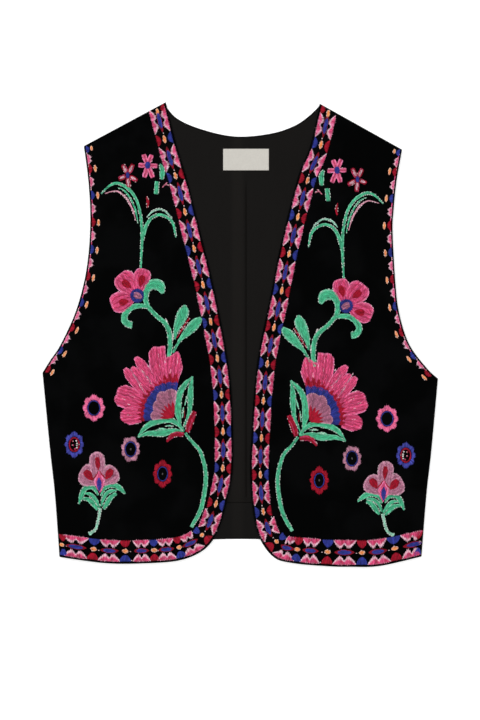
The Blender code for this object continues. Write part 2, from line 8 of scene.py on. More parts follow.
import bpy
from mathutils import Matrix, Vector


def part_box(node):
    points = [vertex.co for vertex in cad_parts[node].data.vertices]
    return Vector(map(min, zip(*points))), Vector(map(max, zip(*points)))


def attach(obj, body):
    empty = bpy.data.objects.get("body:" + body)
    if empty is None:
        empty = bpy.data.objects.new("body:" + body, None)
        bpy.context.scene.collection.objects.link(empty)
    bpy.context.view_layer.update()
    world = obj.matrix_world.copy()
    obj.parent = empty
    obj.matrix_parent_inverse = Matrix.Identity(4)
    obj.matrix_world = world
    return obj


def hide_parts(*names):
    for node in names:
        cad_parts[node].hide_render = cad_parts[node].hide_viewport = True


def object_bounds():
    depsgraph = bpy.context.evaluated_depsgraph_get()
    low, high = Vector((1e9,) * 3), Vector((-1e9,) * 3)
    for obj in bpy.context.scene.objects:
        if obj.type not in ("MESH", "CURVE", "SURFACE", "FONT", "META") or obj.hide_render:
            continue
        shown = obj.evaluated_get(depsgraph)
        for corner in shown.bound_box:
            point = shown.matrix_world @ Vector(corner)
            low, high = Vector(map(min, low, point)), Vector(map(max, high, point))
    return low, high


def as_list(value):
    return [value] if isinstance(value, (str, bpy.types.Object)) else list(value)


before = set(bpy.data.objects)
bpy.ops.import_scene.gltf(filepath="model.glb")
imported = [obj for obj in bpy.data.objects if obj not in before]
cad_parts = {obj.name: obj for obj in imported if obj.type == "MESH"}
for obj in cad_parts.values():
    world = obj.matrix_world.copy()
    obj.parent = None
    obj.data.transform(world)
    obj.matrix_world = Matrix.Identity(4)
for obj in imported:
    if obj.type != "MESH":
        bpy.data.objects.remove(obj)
cad_low, cad_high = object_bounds()
print("solids:", len(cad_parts), "box in metres:", tuple(cad_low), tuple(cad_high))

# %% Modules and units
import math
from collections import namedtuple

import bpy
import numpy as np
from mathutils import Vector
from mathutils.bvhtree import BVHTree
from mathutils.geometry import delaunay_2d_cdt

MM = 0.001

# %% [markdown]
# The photograph looks straight down on the laid vest. A long lens from two metres up keeps the
# sides parallel, as in such product pictures. The camera's height follows from the picture's
# real size: the sensor's long side covers the photograph's height. A pixel of the photograph is
# 1.2 mm on the cloth, which the neck label's usual size gives.

# %% Camera
PHOTO_WIDTH = 480
PHOTO_HEIGHT = 720
PIXEL = 1.2
ORIGIN_PX = 240.25
ORIGIN_PY = 334.5
LENS = 85.0
SENSOR = 36.0


def linked(name, data):
    """A new object that holds the data, in the scene's collection."""
    thing = bpy.data.objects.new(name, data)
    bpy.context.collection.objects.link(thing)
    return thing


def add_camera():
    data = bpy.data.cameras.new("camera")
    data.lens = LENS
    data.sensor_width = SENSOR
    height = PHOTO_HEIGHT * PIXEL * LENS / SENSOR
    camera = linked("camera", data)
    camera.location = ((PHOTO_WIDTH / 2 - ORIGIN_PX) * PIXEL * MM,
                       (ORIGIN_PY - PHOTO_HEIGHT / 2) * PIXEL * MM,
                       height * MM + cad_high.z)
    bpy.context.scene.camera = camera
    return camera


camera = add_camera()
print("camera height in metres:", round(camera.location.z, 3))

# %% [markdown]
# Black velvet shows its form only by its highlights, and thread by the small shadows between
# its strands. So the light is a bright, even sky with one wide lamp overhead, a smaller one
# from the upper left, which is where the photograph's highlights are, and a weak one from the
# lower right. The standard view transform keeps the thread's clear colours.

# %% Lights and colour transform
Lamp = namedtuple("Lamp", "name x y z size power")
LAMPS = (
    Lamp("overhead", 0.0, 0.2, 2.6, 2.4, 34.0),
    Lamp("upper_left", -1.3, 1.2, 1.5, 0.9, 16.0),
    Lamp("lower_right", 1.4, -1.3, 1.6, 1.2, 7.0),
)
SKY_STRENGTH = 0.56


def add_lamp(lamp):
    data = bpy.data.lights.new(lamp.name, "AREA")
    data.shape = "SQUARE"
    data.size = lamp.size
    data.energy = lamp.power
    thing = linked(lamp.name, data)
    thing.location = (lamp.x, lamp.y, lamp.z)
    towards = Vector((0.0, 0.0, 0.0)) - thing.location
    thing.rotation_euler = towards.to_track_quat("-Z", "Y").to_euler()


def add_sky():
    world = bpy.data.worlds.new("sky")
    world.use_nodes = True
    background = world.node_tree.nodes["Background"]
    background.inputs["Color"].default_value = (1.0, 1.0, 1.0, 1.0)
    background.inputs["Strength"].default_value = SKY_STRENGTH
    bpy.context.scene.world = world


for lamp in LAMPS:
    add_lamp(lamp)
add_sky()
bpy.context.scene.view_settings.view_transform = "Standard"
bpy.context.scene.view_settings.look = "None"
print("lamps:", [(lamp.name, lamp.power) for lamp in LAMPS], "sky:", SKY_STRENGTH)

# %% [markdown]
# A finish is easier to read as a sum than as a web of nodes. The class Wire wraps a socket, so
# that an expression such as 0.4 + 0.2 * grain adds the Math nodes itself. Nearly every other
# node comes from one method, Finish.node, which takes its settings and then its inputs.

# %% Shader maths


class Wire:
    """A socket that Python's operators can add, subtract and multiply."""

    def __init__(self, finish, socket):
        self.finish = finish
        self.socket = socket

    def maths(self, operation, a, b=0.0):
        return self.finish.node("ShaderNodeMath", {"operation": operation}, {0: a, 1: b})

    def __add__(self, other):
        return self.maths("ADD", self, other)

    def __sub__(self, other):
        return self.maths("SUBTRACT", self, other)

    def __rsub__(self, other):
        return self.maths("SUBTRACT", other, self)

    def __mul__(self, other):
        return self.maths("MULTIPLY", self, other)

    def sine(self):
        return self.maths("SINE", self)

    __radd__ = __add__
    __rmul__ = __mul__


class Finish:
    """A Principled material under construction."""

    def __init__(self, name, **constants):
        self.material = bpy.data.materials.new(name)
        self.material.use_nodes = True
        self.tree = self.material.node_tree
        self.shader = self.tree.nodes["Principled BSDF"]
        for socket, value in constants.items():
            self.shader.inputs[socket.replace("_", " ")].default_value = value

    def feed(self, socket, value):
        if isinstance(value, Wire):
            self.tree.links.new(value.socket, socket)
        else:
            socket.default_value = value

    def node(self, kind, settings=None, inputs=None, output=0):
        made = self.tree.nodes.new(kind)
        for key, value in (settings or {}).items():
            setattr(made, key, value)
        for key, value in (inputs or {}).items():
            self.feed(made.inputs[key], value)
        return Wire(self, made.outputs[output])

    def mix(self, factor, a, b):
        """A blend of two colours."""
        return self.node("ShaderNodeMix", {"data_type": "RGBA"}, {0: factor, 6: a, 7: b}, 2)

    def noise(self, place, scale, detail=2.0):
        return self.node("ShaderNodeTexNoise", {},
                         {"Vector": place, "Scale": scale, "Detail": detail})

    def place(self):
        """Object coordinates, in metres."""
        return self.node("ShaderNodeTexCoord", output="Object")

    def parts(self, vector):
        """A vector's three numbers."""
        apart = self.tree.nodes.new("ShaderNodeSeparateXYZ")
        self.feed(apart.inputs[0], vector)
        return [Wire(self, socket) for socket in apart.outputs]

    def band(self, value, low, high):
        """0 below low, 1 above high and a smooth step between them."""
        return self.node("ShaderNodeMapRange", {"interpolation_type": "SMOOTHSTEP"},
                         {"Value": value, "From Min": low, "From Max": high})

    def bump(self, height, depth, strength):
        """Relief of a real depth in metres."""
        relief = self.node("ShaderNodeBump", {},
                           {"Height": height, "Distance": depth, "Strength": strength})
        self.feed(self.shader.inputs["Normal"], relief)

    def surface(self, **values):
        for socket, value in values.items():
            self.feed(self.shader.inputs[socket.replace("_", " ")], value)
        return self.material


# %% [markdown]
# The table is a plain pale board, very slightly mottled so that it isn't a flat colour. It glows
# a little, as a light table does, so that the vest throws next to no shadow on it. In the
# photograph it throws none.

# %% Table
TABLE_HALF = 6.0
TABLE_GLOW = 0.22
TABLE_DARK = (0.90, 0.90, 0.895, 1)
TABLE_LIGHT = (0.92, 0.92, 0.92, 1)


def table_finish():
    finish = Finish("pale_board", Specular_IOR_Level=0.1, Emission_Color=(1, 1, 1, 1),
                    Emission_Strength=TABLE_GLOW)
    mottle = finish.noise(finish.place(), 1.5)
    return finish.surface(Base_Color=finish.mix(mottle, TABLE_DARK, TABLE_LIGHT), Roughness=0.9)


def add_table():
    mesh = bpy.data.meshes.new("table")
    corners = [(-TABLE_HALF, -TABLE_HALF, 0), (TABLE_HALF, -TABLE_HALF, 0),
               (TABLE_HALF, TABLE_HALF, 0), (-TABLE_HALF, TABLE_HALF, 0)]
    mesh.from_pydata(corners, [], [(0, 1, 2, 3)])
    mesh.materials.append(table_finish())
    table = linked("table", mesh)


add_table()
print("table:", 2 * TABLE_HALF, "m square")

# %% [markdown]
# The vest is cut as a maker cuts it: two fronts with rounded lower corners, one back, a back
# lining and its hem facing. Each seam is a short list of points that a smooth curve joins. They
# are the same seams as in the construction model, so the cloth lies just where its solids do.

# %% Seams of the cut
Spot = namedtuple("Spot", "x y")
LEFT_EDGE = (
    Spot(-89.7, 279.6), Spot(-75.9, 226.2), Spot(-62.7, 183.0), Spot(-48.3, 125.4),
    Spot(-33.9, 67.8), Spot(-21.9, 10.2), Spot(-12.3, -47.4), Spot(-8.7, -105.0),
    Spot(-8.7, -162.6), Spot(-14.7, -196.0), Spot(-23.1, -227.4), Spot(-34.5, -249.6),
    Spot(-50.7, -263.4), Spot(-77.1, -272.4), Spot(-120.3, -275.4), Spot(-163.5, -274.9),
    Spot(-217.5, -267.6),
)
LEFT_SIDE = (
    Spot(-217.5, -267.6), Spot(-223.0, -192.6), Spot(-228.9, -138.6), Spot(-237.9, -46.0),
)
LEFT_ARMHOLE = (
    Spot(-237.9, -46.0), Spot(-228.3, -30.6), Spot(-216.3, -12.6), Spot(-199.5, 23.4),
    Spot(-188.7, 59.4), Spot(-182.7, 95.4), Spot(-180.3, 139.8), Spot(-182.7, 185.4),
    Spot(-188.1, 226.8),
)
RIGHT_EDGE = (
    Spot(95.7, 277.8), Spot(83.7, 226.2), Spot(71.7, 197.4), Spot(59.7, 154.2),
    Spot(45.9, 96.6), Spot(34.5, 39.0), Spot(22.5, -18.6), Spot(16.5, -66.6),
    Spot(13.3, -119.4), Spot(11.7, -162.6), Spot(14.1, -205.8), Spot(21.3, -240.6),
    Spot(39.3, -267.0), Spot(62.1, -274.8), Spot(102.9, -278.6), Spot(131.7, -279.4),
    Spot(167.7, -278.4), Spot(218.1, -267.0),
)
RIGHT_SIDE = (
    Spot(218.1, -267.0), Spot(224.1, -192.6), Spot(230.1, -138.6), Spot(237.9, -53.0),
)
RIGHT_ARMHOLE = (
    Spot(237.9, -53.0), Spot(225.3, -41.4), Spot(203.7, -12.6), Spot(191.7, 23.4),
    Spot(186.9, 59.4), Spot(183.3, 123.0), Spot(184.5, 149.4), Spot(188.1, 185.4),
    Spot(194.7, 222.6),
)
NECK = (
    Spot(-91.0, 278.6), Spot(-75.3, 261.0), Spot(-44.7, 247.8), Spot(-5.1, 239.6),
    Spot(35.7, 243.0), Spot(64.0, 252.0), Spot(82.0, 264.0), Spot(95.7, 277.4),
)
HEM_MIDDLE = -247.2
HEM_STEPS = 60
print("spots on the left and right front edge:", len(LEFT_EDGE), len(RIGHT_EDGE))

# %% [markdown]
# Every seam, spine and rail goes through the same few helpers. A smooth curve through a list of
# spots becomes a run of evenly spaced points. A spline of this kind passes through its own
# spots, so a measured length stays what it is.

# %% Curves and distances
CURVE_STEPS = 12


def spline(p, q, r, s, t):
    """The point at share t between q and r, on a smooth curve through all four."""
    return 0.5 * (2 * q + (r - p) * t + (2 * p - 5 * q + 4 * r - s) * t * t
                  + (3 * q - p - 3 * r + s) * t ** 3)


def smooth_run(spots, step):
    """Evenly spaced points, about step apart, on a smooth curve through the spots."""
    spots = np.array(spots, float)
    padded = np.vstack([spots[:1], spots, spots[-1:]])
    t = np.arange(CURVE_STEPS)[:, None] / CURVE_STEPS
    runs = [spline(*four, t) for four in zip(padded, padded[1:], padded[2:], padded[3:])]
    dense = np.vstack(runs + [spots[-1:]])
    length = np.concatenate([[0], np.cumsum(np.hypot(*np.diff(dense, axis=0).T))])
    count = max(2, round(length[-1] / step))
    want = np.linspace(0, length[-1], count + 1)
    return np.column_stack([np.interp(want, length, dense[:, axis]) for axis in (0, 1)])


def normals(run, closed=False):
    """The unit left-hand normal at each point of a run or loop."""
    if closed:
        ahead = np.roll(run, -1, axis=0) - np.roll(run, 1, axis=0)
    else:
        padded = np.vstack([run[:1], run, run[-1:]])
        ahead = padded[2:] - padded[:-2]
    size = np.hypot(ahead[:, 0], ahead[:, 1])
    return np.column_stack([-ahead[:, 1] / size, ahead[:, 0] / size])


def edge_distance(points, runs):
    """Each point's distance to the nearest of the runs."""
    best = np.full(len(points), np.inf)
    for run in runs:
        for a, b in zip(run[:-1], run[1:]):
            along = b - a
            share = np.clip(((points - a) @ along) / max(along @ along, 1e-12), 0, 1)
            gap = points - a - share[:, None] * along
            best = np.minimum(best, np.hypot(gap[:, 0], gap[:, 1]))
    return best


def inside(points, loop):
    """Whether each point is inside a closed loop."""
    odd = np.zeros(len(points), bool)
    x, y = points.T
    for (x0, y0), (x1, y1) in zip(loop, np.roll(loop, -1, axis=0)):
        if y0 != y1:
            odd ^= ((y0 > y) != (y1 > y)) & (x < x0 + (y - y0) * (x1 - x0) / (y1 - y0))
    return odd


def ease(t):
    """A smooth step from 0 to 1."""
    t = np.clip(t, 0.0, 1.0)
    return t * t * (3 - 2 * t)


def close(run):
    return np.vstack([run, run[:1]])


print("points along the neck, 10 mm apart:", len(smooth_run(NECK, 10.0)))

# %% [markdown]
# Each panel is a thin closed shell. A flat pattern of triangles fills its outline, one copy is
# lifted to the upper side and one to the lower side, and a few rings of faces turn the edge
# over in a half circle, as a bagged-out seam does. A Solidify modifier would leave square cut
# edges, so the rings are built here.

# %% A cloth panel
EDGE_STEP = 4.0
TURN_ANGLES = (0.0, 28.0, 58.0, 90.0)
TURN_WIDTH = 1.1


def filling(ring, grid, rows=()):
    """Triangles inside a ring of points, with rows that they must keep. The ring comes first."""
    points = [tuple(p) for p in ring]
    edges = [(i, (i + 1) % len(ring)) for i in range(len(ring))]
    for row in rows:
        first = len(points)
        points.extend(tuple(p) for p in row)
        edges.extend((first + i, first + i + 1) for i in range(len(row) - 1))
    low, high = ring.min(axis=0), ring.max(axis=0)
    height = grid * math.sqrt(3) / 2
    ys = np.arange(low[1] + height, high[1], height)
    lattice = np.array([(x + (j % 2) * grid / 2, y) for j, y in enumerate(ys)
                        for x in np.arange(low[0], high[0], grid)])
    lattice = lattice[inside(lattice, ring)]
    lattice = lattice[edge_distance(lattice, [close(ring), *rows]) > 0.5 * grid]
    points.extend(tuple(p) for p in lattice)
    corners, _, faces, *_ = delaunay_2d_cdt([Vector(p) for p in points], edges, [], 0, 1e-4)
    corners = np.array([tuple(c) for c in corners])
    faces = np.array(faces)
    middles = corners[faces].mean(axis=1)
    faces = faces[inside(middles, ring)]
    a, b, c = (corners[faces[:, i]] for i in range(3))
    turn = (b - a)[:, 0] * (c - a)[:, 1] - (b - a)[:, 1] * (c - a)[:, 0]
    faces[turn < 0] = faces[turn < 0][:, ::-1]
    return corners, faces


# %% [markdown]
# The rings that turn the edge over are made of the outline's own points. So the upper side, the
# edge and the lower side share their points, and the shell has no hole.

# %% Rings that turn the edge


def dip(half, angle):
    """How far an edge has turned over at an angle, for half the cloth's thickness."""
    return half * (1 - math.sin(math.radians(angle)))


def edge_faces(starts, count, flip):
    """The faces between rings of points that begin at the given indices."""
    quads = []
    for outer, inner in zip(starts, starts[1:]):
        for i in range(count):
            j = (i + 1) % count
            face = (outer + i, outer + j, inner + j, inner + i)
            quads.append(tuple(map(int, face[::-1] if flip else face)))
    return quads


def panel(name, loop, grid, top, bottom, finish, rows=()):
    """A thin closed shell between two height functions, with a rounded edge."""
    inward = normals(loop, closed=True)
    count = len(loop)
    shapes = [loop + inward * TURN_WIDTH * (1 - math.cos(math.radians(a))) for a in TURN_ANGLES]
    corners, faces = filling(shapes[-1], grid, rows)
    upper, lower = top(corners), bottom(corners)
    half = (top(loop) - bottom(loop)) / 2
    places = [np.column_stack([shape, upper[:count] - dip(half, angle)])
              for angle, shape in zip(TURN_ANGLES[:-1], shapes)]
    places.append(np.column_stack([corners, upper]))
    places += [np.column_stack([shape, lower[:count] + dip(half, angle)])
               for angle, shape in zip(TURN_ANGLES[1:-1], shapes[1:])]
    places.append(np.column_stack([corners, lower]))
    starts = np.cumsum([0] + [len(p) for p in places])
    quads = edge_faces(starts[:4], count, False)
    quads += edge_faces([starts[0], *starts[4:7]], count, True)
    triangles = [tuple(map(int, f)) for f in faces + starts[3]]
    triangles += [tuple(map(int, f[::-1])) for f in faces + starts[6]]
    mesh = bpy.data.meshes.new(name)
    mesh.from_pydata((np.vstack(places) * MM).tolist(), [], quads + triangles)
    mesh.shade_smooth()
    mesh.materials.append(finish)
    print(name, "faces:", len(mesh.polygons))
    return linked(name, mesh)


def anticlockwise(loop):
    x, y = loop.T
    signed = np.sum(x * np.roll(y, -1) - np.roll(x, -1) * y)
    return loop if signed > 0 else loop[::-1]


print("an edge turns over through these angles:", TURN_ANGLES)

# %% [markdown]
# Laid cloth is never quite flat. Each front is crowned a little, because it lies on the layers
# under it, and it has a few long soft ridges where it pulls from the armhole and the hem, and
# short troughs beside the stiff embroidery. They are placed one by one, as lines with a height
# and a reach, so that no two are alike.

# %% Creases
Crease = namedtuple("Crease", "x0 y0 x1 y1 height reach")
LEFT_CREASES = (
    Crease(-200.0, 0.0, -120.0, -60.0, 0.9, 40.0),
    Crease(-80.0, 110.0, -100.0, -20.0, 0.6, 36.0),
    Crease(-190.0, -185.0, -90.0, -210.0, 0.6, 36.0),
    Crease(-226.0, -118.0, -150.0, -128.0, -0.5, 17.0),
    Crease(-176.0, 60.0, -150.0, 8.0, 0.5, 13.0),
    Crease(-168.0, 150.0, -120.0, 118.0, -0.4, 15.0),
    Crease(-60.0, 40.0, -48.0, -40.0, 0.45, 11.0),
    Crease(-46.0, -150.0, -60.0, -226.0, -0.45, 13.0),
    Crease(-140.0, -232.0, -128.0, -196.0, 0.4, 12.0),
)
RIGHT_CREASES = (
    Crease(200.0, -6.0, 115.0, -75.0, 0.9, 40.0),
    Crease(86.0, 100.0, 104.0, -15.0, 0.6, 36.0),
    Crease(190.0, -195.0, 85.0, -215.0, 0.6, 36.0),
    Crease(228.0, -92.0, 160.0, -112.0, -0.5, 19.0),
    Crease(180.0, 84.0, 148.0, 20.0, 0.55, 15.0),
    Crease(170.0, 168.0, 136.0, 128.0, -0.35, 12.0),
    Crease(58.0, 30.0, 46.0, -62.0, 0.4, 12.0),
    Crease(52.0, -140.0, 58.0, -214.0, -0.5, 14.0),
    Crease(186.0, -236.0, 170.0, -204.0, 0.4, 14.0),
)
BACK_CREASES = (
    Crease(-40.0, 190.0, -90.0, 40.0, 0.25, 26.0),
    Crease(52.0, 168.0, 30.0, -60.0, 0.2, 20.0),
    Crease(-36.0, -30.0, -22.0, -170.0, 0.22, 18.0),
    Crease(-70.0, 232.0, -58.0, 176.0, 0.2, 14.0),
)
RIPPLE = 0.12


def crease_rise(creases, points):
    total = np.zeros(len(points))
    for crease in creases:
        line = np.array([[crease.x0, crease.y0], [crease.x1, crease.y1]])
        away = edge_distance(points, [line]) / crease.reach
        total += crease.height * np.clip(1 - away * away, 0, None) ** 2
    return total


def ripple(points):
    """A slight unevenness of the cloth, a few centimetres long."""
    x, y = points.T
    return RIPPLE * np.sin(x / 9.1 + y / 31.0) * np.sin(y / 12.7 - x / 43.0)


print("creases:", len(LEFT_CREASES), len(RIGHT_CREASES), len(BACK_CREASES))

# %% [markdown]
# Velvet drinks nearly all light that falls straight on it, and gives a little back where its
# pile is seen from the side. So its base colour is almost black, its mirror reflection is next
# to none and it has a weak sheen. A broad noise stands for patches where the pile leans another
# way, and a very fine one is the pile itself.

# %% Velvet
NAP_SCALE = 17.0
PILE_SCALE = 1300.0
PILE_DEPTH = 0.0004


def velvet_finish():
    finish = Finish("black_velvet", Sheen_Weight=0.06, Sheen_Roughness=0.4,
                    Sheen_Tint=(0.75, 0.78, 0.85, 1), Specular_IOR_Level=0.01)
    place = finish.place()
    nap = finish.band(finish.noise(place, NAP_SCALE, 3.0), 0.42, 0.62)
    pile = finish.noise(place, PILE_SCALE, 2.0)
    colour = finish.mix(nap, (0.0006, 0.0007, 0.0007, 1), (0.0016, 0.0017, 0.0018, 1))
    finish.bump(pile, PILE_DEPTH, 0.5)
    return finish.surface(Base_Color=colour, Roughness=0.85 + 0.1 * nap)


VELVET = velvet_finish()
print("finish:", VELVET.name)

# %% [markdown]
# The lining is a charcoal satin. Its long floats run up and down, so it has fine streaks along
# Y, a faint rib across them and a soft gloss. Left of the pleat's pressed fold, a painted sheen
# makes it a touch lighter, as the photograph shows.

# %% Lining satin
PLEAT_X = 6.5
PLEAT_WIDTH = 17.0
SATIN_RIB = 0.0009
SATIN_DEPTH = 0.00012
STREAK_SCALE = 900.0
CLOUD_SCALE = 9.0


def satin_finish(name, dark, light):
    finish = Finish(name, Specular_IOR_Level=0.05, Sheen_Weight=0.02, Sheen_Roughness=0.4)
    place = finish.place()
    x, y = finish.parts(place)[:2]
    stretched = finish.node("ShaderNodeMapping", {}, {"Vector": place, "Scale": (1.0, 0.04, 1.0)})
    streak = finish.noise(stretched, STREAK_SCALE, 2.0)
    cloud = finish.noise(place, CLOUD_SCALE, 2.0)
    start = PLEAT_X - PLEAT_WIDTH
    left_of_fold = finish.band(x, (start - 3) * MM, (start + 4) * MM)
    past_fold = finish.band(x, (PLEAT_X - 7) * MM, (PLEAT_X + 0.5) * MM)
    # Painted sheen: a band left of the pleat's fold is a touch lighter.
    painted_sheen = left_of_fold * (1 - past_fold)
    shade = 0.30 * streak + 0.30 * cloud + 0.45 * painted_sheen
    rib = (y * (2 * math.pi / SATIN_RIB)).sine() * 0.25 + streak
    finish.bump(rib, SATIN_DEPTH, 0.5)
    return finish.surface(Base_Color=finish.mix(shade, dark, light), Roughness=0.42 + 0.2 * streak)


LINING = satin_finish("charcoal_satin", (0.0023, 0.0019, 0.0016, 1), (0.0062, 0.0052, 0.0044, 1))
FACING = satin_finish("facing_satin", (0.0021, 0.0018, 0.0016, 1), (0.0055, 0.0047, 0.0040, 1))
print("finishes:", LINING.name, FACING.name)

# %% [markdown]
# A front's underside is a fixed distance below its upper side, except at the side and shoulder
# seams. There the cloth turns down to meet the back, so that from the side the two read as one
# sewn edge with a groove. Its height over the table comes from the frame.

# %% Fronts
FRONT_WALL = 2.0
FRONT_CROWN = 1.8
CROWN_REACH = 75.0
FRONT_GRID = 6.5
SEAM_TURN = 4.0
SEAM_LEVEL = 1.75


class Front:
    """One front: its seams, its heights, its velvet and what is stitched on it."""

    def __init__(self, side_name, edge, side, armhole, creases, sign):
        self.name = side_name
        self.sign = sign
        self.edge = smooth_run(edge, EDGE_STEP)
        self.side = smooth_run(side, EDGE_STEP)
        self.armhole = smooth_run(armhole, EDGE_STEP)
        self.shoulder = smooth_run((armhole[-1], edge[0]), EDGE_STEP)
        runs = (self.edge, self.side, self.armhole, self.shoulder)
        self.loop = anticlockwise(np.vstack([run[:-1] for run in runs]))
        self.creases = creases
        self.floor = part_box("front_" + side_name)[0].z / MM
        self.velvet = panel("velvet_front_" + side_name, self.loop, FRONT_GRID, self.top,
                            self.bottom, VELVET)
        self.ground = BVHTree.FromObject(self.velvet, bpy.context.evaluated_depsgraph_get())
        self.work = []

    def top(self, points):
        lift = FRONT_CROWN * ease(edge_distance(points, [close(self.loop)]) / CROWN_REACH)
        uneven = (crease_rise(self.creases, points) + ripple(points)) * ease(lift)
        return self.floor + FRONT_WALL + lift + uneven

    def bottom(self, points):
        level = self.top(points) - FRONT_WALL
        sewn = 1 - ease(edge_distance(points, [self.side, self.shoulder]) / SEAM_TURN)
        return level + (SEAM_LEVEL - level) * sewn


left = Front("left", LEFT_EDGE, LEFT_SIDE, LEFT_ARMHOLE, LEFT_CREASES, 1)
right = Front("right", RIGHT_EDGE, RIGHT_SIDE, RIGHT_ARMHOLE, RIGHT_CREASES, -1)
FRONTS = (left, right)

# %% [markdown]
# The back is one piece. Its neck and hem are curves of their own, and its sides, armholes and
# shoulders are the fronts'. It sits a millimetre inside them, where the fronts' turned
# seams hide it. Its underside is flat, since the vest lies on it.

# %% Back
BACK_INSET = 1.0
BACK_GRID = 11.0
BACK_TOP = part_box("back")[1].z / MM


def hem_run():
    """The back's hem, from the right side seam to the left, curving up in the middle."""
    start, end = RIGHT_SIDE[0], LEFT_SIDE[0]
    share = np.arange(HEM_STEPS + 1) / HEM_STEPS
    level = start.y + (end.y - start.y) * share
    rise = (HEM_MIDDLE - level) * np.sin(math.pi * share)
    return np.column_stack([start.x + (end.x - start.x) * share, level + rise])


def back_outline():
    left_shoulder = smooth_run((LEFT_ARMHOLE[-1], NECK[0]), EDGE_STEP)
    right_shoulder = smooth_run((NECK[-1], RIGHT_ARMHOLE[-1]), EDGE_STEP)
    neck = smooth_run(NECK, EDGE_STEP)
    runs = (left.side, left.armhole, left_shoulder, neck, right_shoulder,
            right.armhole[::-1], right.side[::-1], hem_run())
    return anticlockwise(np.vstack([run[:-1] for run in runs]))


def inset(loop, distance):
    """The anticlockwise loop moved inwards."""
    return loop + normals(loop, closed=True) * np.reshape(distance, (-1, 1))


def level(height):
    """A flat height function."""
    return lambda points: np.full(len(points), height)


BACK_LOOP = back_outline()
back = panel("velvet_back", inset(BACK_LOOP, BACK_INSET), BACK_GRID, level(BACK_TOP), level(0.0),
             VELVET)

# %% [markdown]
# The back lining lies inside the back and has an ease pleat down its middle: the cloth rises
# towards a pressed fold and drops off sharply behind it. Rows of points along the fold keep it
# crisp. Below a seam the hem facing carries on, plain.

# %% Lining and hem facing
LINING_INSET = 4.5
NECK_INSET = 2.4
LINING_WALL = 0.8
LINING_GRID = 8.0
LINING_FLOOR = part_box("back_lining")[0].z / MM
PLEAT_RISE = 0.95
PLEAT_DROP = 0.9
PLEAT_TOP = 196.0
PLEAT_FADE = 34.0
PLEAT_END = 6.0
PLEAT_CURVE = 1.6
FACING_TOP = -202.2
FACING_GAP = 0.3
SEAM_DIP = 0.35
SEAM_REACH = 3.0
COVERED_REACH = 40.0


def lining_outline():
    """Well inside the covered seams, and close to the neck and the hem, where it shows."""
    covered = edge_distance(BACK_LOOP, [left.side, left.armhole, right.side, right.armhole])
    return inset(BACK_LOOP, LINING_INSET - (LINING_INSET - NECK_INSET) * ease(covered / COVERED_REACH))


def lining_top(points):
    x, y = points.T
    climb = ease((x - (PLEAT_X - PLEAT_WIDTH)) / PLEAT_WIDTH) ** PLEAT_CURVE
    drop = 1 - ease((x - PLEAT_X) / PLEAT_DROP)
    along = ease((PLEAT_TOP - y) / PLEAT_FADE) * ease((y - FACING_TOP) / PLEAT_END)
    seam = SEAM_DIP * (1 - ease(np.abs(y - FACING_TOP) / SEAM_REACH))
    return (LINING_FLOOR + LINING_WALL + PLEAT_RISE * climb * drop * along
            + crease_rise(BACK_CREASES, points) + 0.5 * ripple(points) - seam)


def split(loop, y_cut, keep_above):
    """The part of a loop above or below a level, with its cut side straight and stepped."""
    kept = []
    for (x0, y0), (x1, y1) in zip(loop, np.roll(loop, -1, axis=0)):
        if (y0 > y_cut) == keep_above:
            kept.append((x0, y0))
        if (y0 > y_cut) != (y1 > y_cut):
            kept.append((x0 + (x1 - x0) * (y_cut - y0) / (y1 - y0), y_cut))
    points = np.array(kept)
    cuts = [i for i in range(len(points)) if abs(points[i, 1] - y_cut) < 1e-9
            and abs(points[(i + 1) % len(points), 1] - y_cut) < 1e-9]
    at = cuts[0]
    ahead = points[(at + 1) % len(points)]
    steps = int(abs(ahead[0] - points[at, 0]) / EDGE_STEP)
    share = np.arange(1, steps)[:, None] / steps
    return np.insert(points, at + 1, points[at] + (ahead - points[at]) * share, axis=0)


def lining_bottom(points):
    return np.full(len(points), LINING_FLOOR)


def pleat_rows():
    ys = np.arange(FACING_TOP + 8.0, PLEAT_TOP + 12.0, EDGE_STEP)
    offsets = (-3.0, 0.0, 0.45 * PLEAT_DROP, PLEAT_DROP, 2.5 * PLEAT_DROP)
    return [np.column_stack([np.full(len(ys), PLEAT_X + offset), ys]) for offset in offsets]


LINING_LOOP = lining_outline()
lining = panel("lining_back", split(LINING_LOOP, FACING_TOP, True), LINING_GRID, lining_top,
               lining_bottom, LINING, pleat_rows())
facing = panel("lining_hem_facing", split(LINING_LOOP, FACING_TOP - FACING_GAP, False),
               LINING_GRID, lining_top, lining_bottom, FACING)

# %% [markdown]
# The label is a small cream ribbon, woven with a fine cross rib, its ends folded under. It stays
# bare. Its upper side is a little fuller at the folded ends.

# %% Label
LABEL_LOW, LABEL_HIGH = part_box("label")
LABEL_GRID = 3.0
WEAVE_UP = 0.0007
WEAVE_ACROSS = 0.0011
WEAVE_DEPTH = 0.00015
WEAVE_FIBRE = 700.0
LABEL_STEP = 1.5
LABEL_FOLD = 0.15
FOLD_WIDTH = 3.5


def label_finish():
    finish = Finish("cream_weave", Specular_IOR_Level=0.2, Sheen_Weight=0.1)
    place = finish.place()
    x, y = finish.parts(place)[:2]
    rib = (y * (2 * math.pi / WEAVE_UP)).sine() * (x * (2 * math.pi / WEAVE_ACROSS)).sine()
    fibre = finish.noise(place, WEAVE_FIBRE, 3.0)
    finish.bump(rib * 0.5 + fibre, WEAVE_DEPTH, 0.6)
    colour = finish.mix(fibre, (0.46, 0.44, 0.40, 1), (0.56, 0.54, 0.495, 1))
    return finish.surface(Base_Color=colour, Roughness=0.8 + 0.1 * fibre)


def label_outline():
    low, high = np.array(LABEL_LOW)[:2] / MM, np.array(LABEL_HIGH)[:2] / MM
    corners = [low, (high[0], low[1]), high, (low[0], high[1]), low]
    sides = [np.linspace(a, b, round(math.dist(a, b) / LABEL_STEP) + 1)[:-1]
             for a, b in zip(corners, corners[1:])]
    return np.vstack(sides)


